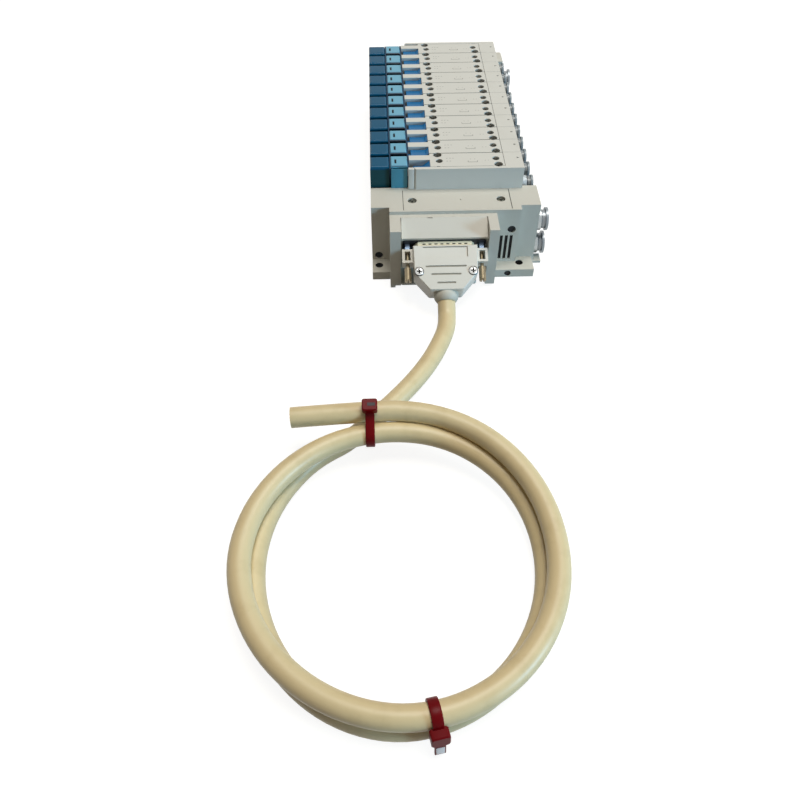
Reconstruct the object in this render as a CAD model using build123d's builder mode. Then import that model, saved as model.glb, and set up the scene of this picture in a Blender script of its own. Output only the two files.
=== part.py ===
"""Eleven-station pneumatic valve island with its multi-pole cable plug.

Millimetres, +Z up, +X towards the ports, -Y towards the plug. The origin lies under the middle of the
island, on the plane that its feet stand on. Stations are counted from the connector block.
"""
import os
from math import atan2, cos, degrees, radians, sin, sqrt

from build123d import *

os.makedirs("parts", exist_ok=True)

# ---------------------------------------------------------------- valve row
STATIONS = 11
PITCH = 16.0                # one station along Y
SEAM = 0.2                  # gap between neighbouring valve bodies
SIDE_PLATE = 2.6            # plates that close the row at each end
TOP_Z = 61.6                # top of the valve bodies
SEAT_Z = 36.6               # seat of the valves on their bases
BASE_Z = 5.0                # underside of the bases
GASKET = 0.6

CAP_LENGTH = 12.4           # dark pilot cap, along X
CAP_GAP = 1.0
COVER_LENGTH = 10.6         # light coil cover
COVER_GAP = 1.2
POCKET_LENGTH = 13.4        # override pocket
HEAD_LENGTH = 11.9          # port head
CAP_WIDTH = 12.8            # caps and covers, along Y
CAP_DROP = 0.5              # their tops lie this far under the valve bodies
CAP_ROUND = 1.6
DECK_Z = 45.6               # deck of the valve body that they stand on
MARK_LENGTH, MARK_WIDTH, MARK_DEPTH = 4.6, 1.3, 0.6    # window of the coil cover
MARK_PLACE = 3.0
BASE_INSET = 1.0            # bases and bodies stand back under the caps
GASKET_INSET = 1.0
SEAM_DEPTH = 0.6            # seams between the port heads
PLATE_START = 3.0           # near edge of the side plates, from the pocket
PLATE_CHAMFER = 1.2

RIB_WIDTH = 5.5             # rib behind each override pocket
RIB_BACK = 2.2              # low strip behind the rib
POCKET_DEPTH = 4.1          # from the top down to the slider's plate
SLIDER_THICKNESS = 2.2
SLIDER_TRAVEL = 2.6
SLIDER_PLAY = 0.2           # clearance round the slider
RAMP_LENGTH, RAMP_HEIGHT = 4.6, 3.6
TONGUE_WIDTH = 4.4
TONGUE_LENGTH = 2.8
EDGE_BREAK = 0.25

LOW_SCREW_RADIUS = 2.2      # small screws of the valve bodies
LOW_SCREW_LEFT = (6.0, 6.8)     # X from the pocket's end, Y from the station's near face
LOW_SCREW_RIGHT = (-5.3, 8.9)   # X from the port head's seam
TIE_SCREW_RADIUS = 2.7      # screws that hold the valves on their bases
TIE_SCREW_LEFT = (5.2, 14.0)
TIE_SCREW_RIGHT = (-4.3, 2.0)
HEAD_SINK = 1.0             # screw heads lie this deep
TIE_HEAD_HEIGHT = 1.8
TIE_SHANK_RADIUS = 1.5
TIE_SCREW_GRIP = 8.0        # length in the base
LOW_SCREW_DEPTH = 5.0

# ---------------------------------------------------------------- ports and fittings
PORT_HEIGHTS = (43.5, 26.5)
PORT_TUBE_RADIUS = 3.05
PORT_CAVITY_RADIUS = 3.6    # space for the clamp behind the collar
PORT_COLLAR_START = 1.0     # inner end of the collar, beyond the port head's face
PORT_SLEEVE_RADIUS = 4.9
PORT_SLEEVE_REACH = 4.4     # sleeve beyond the port head's face
PORT_COLLAR_RADIUS = 5.3
PORT_COLLAR_REACH = 8.4     # outer face of the release collar beyond the head's face
PORT_COLLAR_RIM = 1.3
PORT_NECK_RADIUS = 4.1
PORT_DEPTH = 8.0

SUPPLY_HEIGHTS = (28.3, 9.6)
SUPPLY_TUBE_RADIUS = 5.1
SUPPLY_NECK_RADIUS = 6.0
SUPPLY_SLEEVE_RADIUS = 7.2
SUPPLY_STEM_RADIUS = 6.9
SUPPLY_DEPTH = 10.0
SUPPLY_SLEEVE_REACH = 3.6
SUPPLY_COLLAR_RADIUS = 7.5
SUPPLY_COLLAR_REACH = 7.7
SUPPLY_COLLAR_RIM = 1.5
SUPPLY_STOP = 5.0           # tube stop, behind the block's face
SUPPLY_LEDGE = 1.0
COLLAR_TRAVEL = 0.8
RUNNING_CLEARANCE = 0.05    # radial, collar in its sleeve

# ---------------------------------------------------------------- connector, supply and end blocks
BLOCK_Z = 46.8
MAIN_LENGTH = 95.5          # connector block up to the supply block
HEAD_REACH = 3.1            # port heads beyond the connector block
SUPPLY_LENGTH = 12.8        # supply block along X
MAIN_DEPTH = 24.0           # connector block forward of the row
CORNER_DEPTH = 19.3         # its left corner, and the supply block
CORNER_LENGTH = 11.6
CHEEK_DEPTH = 42.0          # cheeks of the plug bay
CHEEK_Z = 44.6
CHEEK_LEFT, CHEEK_RIGHT = 6.8, 6.1      # thickness of the cheeks
CHEEK_FOOT_Z = 2.0
BAY_PLAY = 1.1              # between the cheeks and the socket's flange
FOOT_DEPTH = 33.0
FOOT_HEIGHT = 6.0
FOOT_LENGTH = 16.0          # right foot, up to the supply block
FOOT_INSET = 1.3            # its end stands back from the supply block's
FOOT_HOLE_RADIUS = 2.6
FOOT_HOLES = (4.5, 2.5)     # X from the left edge, and from the supply block
FOOT_HOLE_DEPTH = 25.5      # forward of the row
PILOT_EXHAUST_RADIUS = 2.7
PILOT_EXHAUST_LEFT = (4.4, 9.4)     # X from the left edge, Z
PILOT_EXHAUST_RIGHT = (-5.1, 31.7)  # X from the supply block, Z
FOOT_PORT = (-5.9, 3.0)
FOOT_PORT_RADIUS = 2.2
PORT_HOLE_DEPTH = 8.0
FOOT_PORT_DEPTH = 3.0
SLOTS, SLOT_PITCH, SLOT_WIDTH, SLOT_HEIGHT, SLOT_DEPTH = 3, 3.2, 2.0, 19.0, 3.0
SLOT_FIRST, SLOT_Z = -11.1, 17.6    # X from the supply block, Z
HOOK = (3.2, 5.0, 0.4)      # hook under the left cheek: along X, along Y, its underside
TAB = (5.6, 8.0, 0.4, 2.0)  # tab beside the supply block's foot: along X, along Y, underside, top

COVER_PLATE = 2.2           # removable cover of the wiring chamber
COVER_INSETS = (20.4, 5.8)  # from the left edge, and from the supply block
COVER_FRONT, COVER_BACK = 22.6, 0.6     # forward of the row
COVER_SCREW_LEFT = (6.1, 12.2)      # from the cover's left end, forward of the row
COVER_SCREW_RIGHT = (6.3, 12.0)     # from its right end
COVER_PIN = (37.0, 12.1)
COVER_PIN_RADIUS, COVER_PIN_DEPTH = 0.5, 0.6
COVER_SCREW_RADIUS = 2.7
COVER_SHANK_RADIUS = 1.3
COVER_SCREW_LENGTH = 9.0
BOSS_RADIUS = 3.2
CHAMBER_WALL = 2.2
CHAMBER_FLOOR = 12.0

BACK_BLOCK = 16.4           # far end block
BACK_REACH = 12.0           # beyond the connector block
BACK_CORNER = 1.5
BACK_BORE_RADIUS, BACK_BORE_DEPTH = 5.2, 6.0
BACK_HOLES = (6.0, 9.5)     # X from the left edge, and back from the connector block's length
ROD_RADIUS = 2.0            # rods that clamp the stack
ROD_CLEARANCE = 0.1
ROD_INSETS = (14.0, 15.5)   # from the left edge, and back from the connector block's length
ROD_MIDDLE = 50.0
ROD_HEIGHT = 14.0
ROD_ENDS = 6.0              # rods stop this far inside the end blocks

# ---------------------------------------------------------------- plug
TILT = 30.0                 # plug axis under the horizontal
ROOF_START = 27.4           # upper edge of the bay's roof, forward of the row
ROOF_RUN = 14.0             # roof along its slope
ROOF_THICKNESS = 2.0
ROOF_OFFSET = 8.85          # roof over the plug's axis
ROOF_GAP = 0.5              # slits beside the roof
ROOF_NOTCH = (17.1, 3.2, 0.6)       # from the bay's left side, its length and its depth
BAY_FACE = 18.0             # sloping face that carries the socket
PLUG_X = 46.0               # plug axis from the left edge
JACK_SPACING = 47.04
FLANGE = (53.0, 12.5, 0.8)
DIMPLES, DIMPLE_PITCH = 8, 3.75
DIMPLE_LENGTH, DIMPLE_WIDTH, DIMPLE_DEPTH = 1.8, 0.6, 0.3
SOCKET_BODY = (42.0, 10.4, 9.0)
WIRE_DEPTH = 6.0            # space for the wires behind the socket
SOCKET_SHELL = (38.0, 7.8, 4.4)
PLUG_SHELL = (39.6, 9.2, 0.5)      # outside width and height, wall
SHELL_LEAN = 1.4            # half the difference between a shell's wide and narrow sides
SOCKET_SHELL_ROUND, PLUG_SHELL_ROUND = 1.8, 2.2
FLANGE_ROUND = 1.5
SHELL_PLAY = 0.25
SHELL_START = 1.0
POST_RADIUS = 2.7
POST_LENGTH = 4.0
POST_STEM_RADIUS, POST_STEM_LENGTH = 1.5, 5.0
JACK_RADIUS = 1.15
JACK_HEAD_RADIUS = 2.15
JACK_HEAD_START, JACK_HEAD_END = 16.4, 25.4
JACK_FLUTES, JACK_FLUTE_RADIUS = 10, 0.25
JACK_SLOT_WIDTH, JACK_SLOT_DEPTH = 0.7, 1.2
HOOD_WIDTH = 40.4
HOOD_NECK = 20.6            # width at the cable end
HOOD_THICKNESS = 16.0
HOOD_WALL = 2.0
HOOD_START, HOOD_BEND, HOOD_END = 4.2, 22.5, 33.6      # along the plug's axis
HOOD_TAPER = 0.4
HOOD_CORNER = 2.0
HOOD_BREAK = 0.5
EAR_START, EAR_END = 5.1, 14.0
EAR_REACH = 26.6            # outer side of the ears from the axis
EAR_THICKNESS = 8.4
EAR_WALL = 1.5
EAR_WINDOW = 3.6
PANEL = (28.2, 7.0, 0.5)    # recessed panel of the hood
PANEL_START = 5.2
GROOVES = ((18.2, 25.6), (23.3, 18.8), (28.9, 11.8))   # place along the axis, length
GROOVE_WIDTH, GROOVE_DEPTH = 1.1, 0.5
HOOD_SCREW_SPACING = 33.6
HOOD_SCREW_PLACE = 21.5
HOOD_SCREW_RADIUS = 3.0
HOOD_SHANK_RADIUS = 1.3
HOOD_SCREW_RISE = 1.0
HOOD_SCREW_GRIP = 5.0
HOOD_POST_RADIUS = 2.8
GROMMET_RADIUS = 7.6
GROMMET_END = 39.0
GROMMET_SEAT = 6.2          # radius of its waist in the hood's wall
GROMMET_LIP = 0.5
GROMMET_DOME = 5.7          # radius of its dome

# ---------------------------------------------------------------- cable
CORD_RADIUS = 5.55
CORD_GRIP = 4.0             # cable inside the hood
# X and Y of the lead's bends, its end, the coil and the tail, from where the cable meets the ground
LEAD_TURNS = ((-3.5, -17.66), (-12.3, -37.66), (-25.5, -57.66))
LEAD_END = (-53.5, -90.56)
LEAD_RADII = (28.0, 74.0, 116.0, 176.0)     # from where it meets the ground
COIL_PLACE = (-34.8, -169.16)
COIL_A, COIL_B = 71.5, 76.5     # half axes of the coil's middle line
COIL_BAND = 17.0            # width of the two turns, which lie half beside and half on one another
TIE_BAND, TIE_THICKNESS = 4.8, 1.2
TIE_PLACES = (-13.2, 11.7)  # X of the upper and the lower tie from the coil's centre
TIE_SLACK = 0.2
TIE_REACHES = (12.5, 0.0)   # the upper tie holds the lead too
TIE_HEAD = (8.0, 6.6, 5.0)  # along the turns, across them, height
TAIL_PLACES = ((-58.0, -92.96), (-89.5, -94.16))

# ---------------------------------------------------------------- derived places
SIDE_REACH = MAIN_LENGTH + SUPPLY_LENGTH
X_LEFT = -(SIDE_REACH + SUPPLY_COLLAR_REACH) / 2
X_MAIN = X_LEFT + MAIN_LENGTH
X_RIGHT = X_LEFT + SIDE_REACH
X_CAP_END = X_LEFT + CAP_LENGTH
X_COVER = X_CAP_END + CAP_GAP
X_COVER_END = X_COVER + COVER_LENGTH
X_POCKET = X_COVER_END + COVER_GAP
X_POCKET_END = X_POCKET + POCKET_LENGTH
X_HEAD_END = X_MAIN + HEAD_REACH
X_BODY_END = X_HEAD_END - HEAD_LENGTH
X_PLUG = X_LEFT + PLUG_X
BAY_WIDTH = FLANGE[0] + 2 * BAY_PLAY
X_BAY = X_PLUG - BAY_WIDTH / 2
X_BAY_END = X_PLUG + BAY_WIDTH / 2

X_BACK = X_MAIN + BACK_REACH
X_COVER_PLATE = X_LEFT + COVER_INSETS[0]
X_COVER_PLATE_END = X_MAIN - COVER_INSETS[1]

ROW_LENGTH = STATIONS * PITCH
Y_FACE = (CHEEK_DEPTH - SIDE_PLATE - ROW_LENGTH - BACK_BLOCK) / 2   # near face of the side plate
Y_ROW = Y_FACE + SIDE_PLATE
Y_ROW_END = Y_ROW + ROW_LENGTH
Y_BACK = Y_ROW_END + BACK_BLOCK
Y_CORNER = Y_FACE - CORNER_DEPTH
Y_MAIN = Y_FACE - MAIN_DEPTH
Y_CHEEK = Y_FACE - CHEEK_DEPTH
Y_FOOT = Y_FACE - FOOT_DEPTH
SUPPLY_Y = (Y_CORNER + Y_ROW) / 2
BACK_Y = (Y_ROW_END + Y_BACK) / 2
STATION_STARTS = [Y_ROW + i * PITCH for i in range(STATIONS)]

CAP_TOP = TOP_Z - CAP_DROP
CHANNEL_Z = TOP_Z - POCKET_DEPTH - SLIDER_THICKNESS - SLIDER_PLAY
X_SHELF = X_COVER_END - SLIDER_TRAVEL - SLIDER_PLAY
PLATE_WIDTH = PITCH - RIB_WIDTH - RIB_BACK      # open pocket, from the station's near face
COVER_SCREWS = (
    (X_COVER_PLATE + COVER_SCREW_LEFT[0], Y_FACE - COVER_SCREW_LEFT[1]),
    (X_COVER_PLATE_END - COVER_SCREW_RIGHT[0], Y_FACE - COVER_SCREW_RIGHT[1]),
)
RODS = [
    (x, ROD_HEIGHT) for x in (X_LEFT + ROD_INSETS[0], X_LEFT + ROD_MIDDLE, X_MAIN - ROD_INSETS[1])
]
LOW_SCREWS = (
    (X_POCKET_END + LOW_SCREW_LEFT[0], LOW_SCREW_LEFT[1]),
    (X_BODY_END + LOW_SCREW_RIGHT[0], LOW_SCREW_RIGHT[1]),
)
TIE_SCREWS = (
    (X_POCKET_END + TIE_SCREW_LEFT[0], TIE_SCREW_LEFT[1]),
    (X_BODY_END + TIE_SCREW_RIGHT[0], TIE_SCREW_RIGHT[1]),
)

S, C = sin(radians(TILT)), cos(radians(TILT))
ROOF_TOP = (Y_FACE - ROOF_START, CHEEK_Z)


def slope(along, drop):
    """(Y, Z) of a point along the roof's slope and under it."""
    return (ROOF_TOP[0] - along * C + drop * S, ROOF_TOP[1] - along * S - drop * C)


PLUG_ORIGIN = (X_PLUG, *slope(ROOF_RUN, ROOF_OFFSET))
# PLUG looks out along the plug's axis. HOOD looks down through the plug, with its y along that axis.
PLUG = Plane(origin=PLUG_ORIGIN, x_dir=(1, 0, 0), z_dir=(0, -C, -S))
HOOD = Plane(origin=PLUG_ORIGIN, x_dir=(1, 0, 0), z_dir=(0, S, -C))


def span(x0, x1, y0, y1, z0, z1, mode=Mode.ADD):
    """A box between two corners."""
    with Locations(((x0 + x1) / 2, (y0 + y1) / 2, (z0 + z1) / 2)):
        Box(x1 - x0, y1 - y0, z1 - z0, mode=mode)


# ================================================================ connector block
with BuildPart() as connector_block:
    with BuildSketch():
        with BuildLine():
            Polyline(
                (X_LEFT, Y_ROW),
                (X_LEFT, Y_CORNER),
                (X_LEFT + CORNER_LENGTH, Y_CORNER),
                (X_LEFT + CORNER_LENGTH, Y_MAIN),
                (X_MAIN, Y_MAIN),
                (X_MAIN, Y_ROW),
                close=True,
            )
        make_face()
    extrude(amount=BLOCK_Z)
    # cheeks of the plug bay
    span(X_BAY - CHEEK_LEFT, X_BAY, Y_CHEEK, Y_MAIN, CHEEK_FOOT_Z, CHEEK_Z)
    span(X_BAY_END, X_BAY_END + CHEEK_RIGHT, Y_CHEEK, Y_MAIN, CHEEK_FOOT_Z, CHEEK_Z)
    span(X_BAY - CHEEK_LEFT, X_BAY - CHEEK_LEFT + HOOK[0], Y_CHEEK, Y_CHEEK + HOOK[1], HOOK[2], CHEEK_FOOT_Z)
    # sloping bed under the roof and the face that carries the socket
    with BuildSketch(Plane.YZ.offset(X_BAY)):
        with BuildLine():
            Polyline(
                (Y_MAIN, CHEEK_Z),
                ROOF_TOP,
                slope(0, ROOF_THICKNESS),
                slope(ROOF_RUN, ROOF_THICKNESS),
                slope(ROOF_RUN, BAY_FACE),
                (Y_MAIN - ROOF_THICKNESS, CHEEK_FOOT_Z),
                (Y_MAIN, CHEEK_FOOT_Z),
                close=True,
            )
        make_face()
    extrude(amount=BAY_WIDTH)
    # feet
    span(X_LEFT, X_LEFT + CORNER_LENGTH, Y_FOOT, Y_CORNER, 0, FOOT_HEIGHT)
    span(X_MAIN - FOOT_LENGTH, X_MAIN, Y_FOOT, Y_MAIN, 0, FOOT_HEIGHT)
    span(X_MAIN, X_RIGHT - FOOT_INSET, Y_FOOT, Y_CORNER, 0, FOOT_HEIGHT)
    # bed of the cover, and the wiring chamber under it
    span(
        X_COVER_PLATE,
        X_COVER_PLATE_END,
        Y_FACE - COVER_FRONT,
        Y_FACE - COVER_BACK,
        BLOCK_Z - COVER_PLATE,
        BLOCK_Z,
        mode=Mode.SUBTRACT,
    )
    span(
        X_COVER_PLATE + CHAMBER_WALL,
        X_COVER_PLATE_END - CHAMBER_WALL,
        Y_FACE - COVER_FRONT + CHAMBER_WALL,
        Y_FACE - COVER_BACK - CHAMBER_WALL,
        CHAMBER_FLOOR,
        BLOCK_Z - COVER_PLATE,
        mode=Mode.SUBTRACT,
    )
    # bosses for the cover's screws
    for place in COVER_SCREWS:
        with BuildSketch(Plane.XY.offset(CHAMBER_FLOOR)):
            with Locations(place):
                Circle(BOSS_RADIUS)
        extrude(amount=BLOCK_Z - COVER_PLATE - CHAMBER_FLOOR)
        with BuildSketch(Plane.XY.offset(BLOCK_Z - COVER_SCREW_LENGTH)):
            with Locations(place):
                Circle(COVER_SHANK_RADIUS)
        extrude(amount=COVER_SCREW_LENGTH, mode=Mode.SUBTRACT)
    # opening for the socket's body, through to the chamber, and the threads of the jack posts
    with BuildSketch(PLUG):
        Rectangle(SOCKET_BODY[0] + SHELL_PLAY, SOCKET_BODY[1] + SHELL_PLAY)
    extrude(amount=-SOCKET_BODY[2] - WIRE_DEPTH, mode=Mode.SUBTRACT)
    with BuildSketch(PLUG):
        with GridLocations(JACK_SPACING, 1, 2, 1):
            Circle(POST_STEM_RADIUS)
    extrude(amount=-POST_STEM_LENGTH, mode=Mode.SUBTRACT)
    # holes of the feet, pilot exhausts and cooling slots
    for x in (X_LEFT + FOOT_HOLES[0], X_MAIN + FOOT_HOLES[1]):
        with Locations((x, Y_FACE - FOOT_HOLE_DEPTH, FOOT_HEIGHT / 2)):
            Cylinder(FOOT_HOLE_RADIUS, FOOT_HEIGHT, mode=Mode.SUBTRACT)
    with Locations(
        (X_LEFT + PILOT_EXHAUST_LEFT[0], Y_CORNER + PORT_HOLE_DEPTH / 2, PILOT_EXHAUST_LEFT[1]),
        (X_MAIN + PILOT_EXHAUST_RIGHT[0], Y_MAIN + PORT_HOLE_DEPTH / 2, PILOT_EXHAUST_RIGHT[1]),
    ):
        Cylinder(PILOT_EXHAUST_RADIUS, PORT_HOLE_DEPTH, rotation=(90, 0, 0), mode=Mode.SUBTRACT)
    with Locations((X_MAIN + FOOT_PORT[0], Y_FOOT + FOOT_PORT_DEPTH / 2, FOOT_PORT[1])):
        Cylinder(FOOT_PORT_RADIUS, FOOT_PORT_DEPTH, rotation=(90, 0, 0), mode=Mode.SUBTRACT)
    for i in range(SLOTS):
        with Locations((X_MAIN + SLOT_FIRST + i * SLOT_PITCH, Y_MAIN + SLOT_DEPTH / 2, SLOT_Z)):
            Box(SLOT_WIDTH, SLOT_DEPTH, SLOT_HEIGHT, mode=Mode.SUBTRACT)
    # holes for the rods
    with BuildSketch(Plane.XZ.offset(-Y_ROW)):
        with Locations(*RODS):
            Circle(ROD_RADIUS + ROD_CLEARANCE)
    extrude(amount=ROD_ENDS + SIDE_PLATE, mode=Mode.SUBTRACT)
connector_block.part.label = "connector_block"
export_step(connector_block.part, "parts/connector_block.step")

with BuildPart() as connector_cover:
    with BuildSketch(Plane.XY.offset(BLOCK_Z - COVER_PLATE)):
        with Locations(((X_COVER_PLATE + X_COVER_PLATE_END) / 2, Y_FACE - (COVER_FRONT + COVER_BACK) / 2)):
            Rectangle(X_COVER_PLATE_END - X_COVER_PLATE, COVER_FRONT - COVER_BACK)
    extrude(amount=COVER_PLATE)
    chamfer(connector_cover.faces().sort_by(Axis.Z)[-1].edges(), EDGE_BREAK)
    with Locations(*[(x, y, BLOCK_Z) for x, y in COVER_SCREWS]):
        CounterBoreHole(COVER_SHANK_RADIUS + SEAM, COVER_SCREW_RADIUS + SEAM, HEAD_SINK + SEAM, COVER_PLATE)
    with Locations((X_COVER_PLATE + COVER_PIN[0], Y_FACE - COVER_PIN[1], BLOCK_Z)):
        Hole(COVER_PIN_RADIUS, COVER_PIN_DEPTH)
connector_cover.part.label = "connector_cover"
export_step(connector_cover.part, "parts/connector_cover.step")

with BuildPart() as connector_cover_screws:
    for place in COVER_SCREWS:
        with BuildSketch(Plane.XY.offset(BLOCK_Z - HEAD_SINK - SEAM)):
            with Locations(place):
                Circle(COVER_SCREW_RADIUS)
        extrude(amount=HEAD_SINK - SEAM)
        with BuildSketch(Plane.XY.offset(BLOCK_Z - COVER_SCREW_LENGTH)):
            with Locations(place):
                Circle(COVER_SHANK_RADIUS)
        extrude(amount=COVER_SCREW_LENGTH - HEAD_SINK - SEAM)
connector_cover_screws.part.label = "connector_cover_screws"
export_step(connector_cover_screws.part, "parts/connector_cover_screws.step")

with BuildPart() as socket_roof:
    with BuildSketch(Plane.YZ.offset(X_BAY + ROOF_GAP)):
        with BuildLine():
            Polyline(
                slope(0, 0),
                slope(ROOF_RUN, 0),
                slope(ROOF_RUN, ROOF_THICKNESS),
                slope(0, ROOF_THICKNESS),
                close=True,
            )
        make_face()
    extrude(amount=BAY_WIDTH - 2 * ROOF_GAP)
    with BuildSketch(Plane.YZ.offset(X_BAY + ROOF_NOTCH[0])):
        with BuildLine():
            Polyline(
                slope(0, 0),
                slope(ROOF_NOTCH[2], 0),
                slope(ROOF_NOTCH[2], ROOF_NOTCH[2]),
                slope(0, ROOF_NOTCH[2]),
                close=True,
            )
        make_face()
    extrude(amount=ROOF_NOTCH[1], mode=Mode.SUBTRACT)
socket_roof.part.label = "socket_roof"
export_step(socket_roof.part, "parts/socket_roof.step")

# ================================================================ socket and plug
with BuildPart() as dsub_socket:
    with BuildSketch(PLUG):
        RectangleRounded(FLANGE[0], FLANGE[1], FLANGE_ROUND)
        with GridLocations(JACK_SPACING, 1, 2, 1):
            Circle(POST_STEM_RADIUS, mode=Mode.SUBTRACT)
    extrude(amount=FLANGE[2])
    with BuildSketch(PLUG):
        Rectangle(SOCKET_BODY[0], SOCKET_BODY[1])
    extrude(amount=-SOCKET_BODY[2])
    with BuildSketch(PLUG.offset(FLANGE[2])):
        with BuildLine():
            half, high = SOCKET_SHELL[0] / 2, SOCKET_SHELL[1] / 2
            Polyline(
                (-half + SHELL_LEAN, high),
                (half - SHELL_LEAN, high),
                (half, -high),
                (-half, -high),
                close=True,
            )
        shell_face = make_face()
        fillet(shell_face.vertices(), SOCKET_SHELL_ROUND)
    extrude(amount=SOCKET_SHELL[2])
dsub_socket.part.label = "dsub_socket"
export_step(dsub_socket.part, "parts/dsub_socket.step")

with BuildPart() as jack_posts:
    with BuildSketch(PLUG.offset(FLANGE[2])):
        with GridLocations(JACK_SPACING, 1, 2, 1):
            RegularPolygon(POST_RADIUS, 6)
            Circle(JACK_RADIUS, mode=Mode.SUBTRACT)
    extrude(amount=POST_LENGTH)
    with BuildSketch(PLUG.offset(-POST_STEM_LENGTH)):
        with GridLocations(JACK_SPACING, 1, 2, 1):
            Circle(POST_STEM_RADIUS)
    extrude(amount=POST_STEM_LENGTH + FLANGE[2])
jack_posts.part.label = "jack_posts"
export_step(jack_posts.part, "parts/jack_posts.step")

with BuildPart() as plug_shell:
    with BuildSketch(PLUG.offset(SHELL_START)) as outer_shell:
        with BuildLine():
            half, high = PLUG_SHELL[0] / 2, PLUG_SHELL[1] / 2
            Polyline(
                (-half + SHELL_LEAN, high),
                (half - SHELL_LEAN, high),
                (half, -high),
                (-half, -high),
                close=True,
            )
        shell_face = make_face()
        fillet(shell_face.vertices(), PLUG_SHELL_ROUND)
        offset(amount=-PLUG_SHELL[2], mode=Mode.SUBTRACT)
    extrude(amount=HOOD_START + HOOD_WALL - SHELL_START)
    with BuildSketch(PLUG.offset(HOOD_START + HOOD_WALL)):
        Rectangle(PLUG_SHELL[0], PLUG_SHELL[1])
    extrude(amount=FLANGE[2])
    # dimples along the shell's upper side
    with BuildSketch(HOOD.offset(-PLUG_SHELL[1] / 2)):
        with Locations((0, HOOD_START - DIMPLE_WIDTH)):
            with GridLocations(DIMPLE_PITCH, 1, DIMPLES, 1):
                Rectangle(DIMPLE_LENGTH, DIMPLE_WIDTH)
    extrude(amount=DIMPLE_DEPTH, mode=Mode.SUBTRACT)
plug_shell.part.label = "plug_shell"
export_step(plug_shell.part, "parts/plug_shell.step")

for side, name in ((-1, "jackscrew_left"), (1, "jackscrew_right")):
    with BuildPart() as jackscrew:
        with BuildSketch(PLUG.offset(FLANGE[2] + POST_LENGTH / 2)):
            with Locations((side * JACK_SPACING / 2, 0)):
                Circle(JACK_RADIUS)
        extrude(amount=JACK_HEAD_START - FLANGE[2] - POST_LENGTH / 2)
        with BuildSketch(PLUG.offset(JACK_HEAD_START)):
            with Locations((side * JACK_SPACING / 2, 0)):
                Circle(JACK_HEAD_RADIUS)
                with PolarLocations(JACK_HEAD_RADIUS, JACK_FLUTES):
                    Circle(JACK_FLUTE_RADIUS, mode=Mode.SUBTRACT)
        extrude(amount=JACK_HEAD_END - JACK_HEAD_START)
        with BuildSketch(PLUG.offset(JACK_HEAD_END - JACK_SLOT_DEPTH)):
            with Locations((side * JACK_SPACING / 2, 0)):
                Rectangle(JACK_SLOT_WIDTH, 2 * JACK_HEAD_RADIUS)
        extrude(amount=JACK_SLOT_DEPTH, mode=Mode.SUBTRACT)
    jackscrew.part.label = name
    export_step(jackscrew.part, f"parts/{name}.step")

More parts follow.
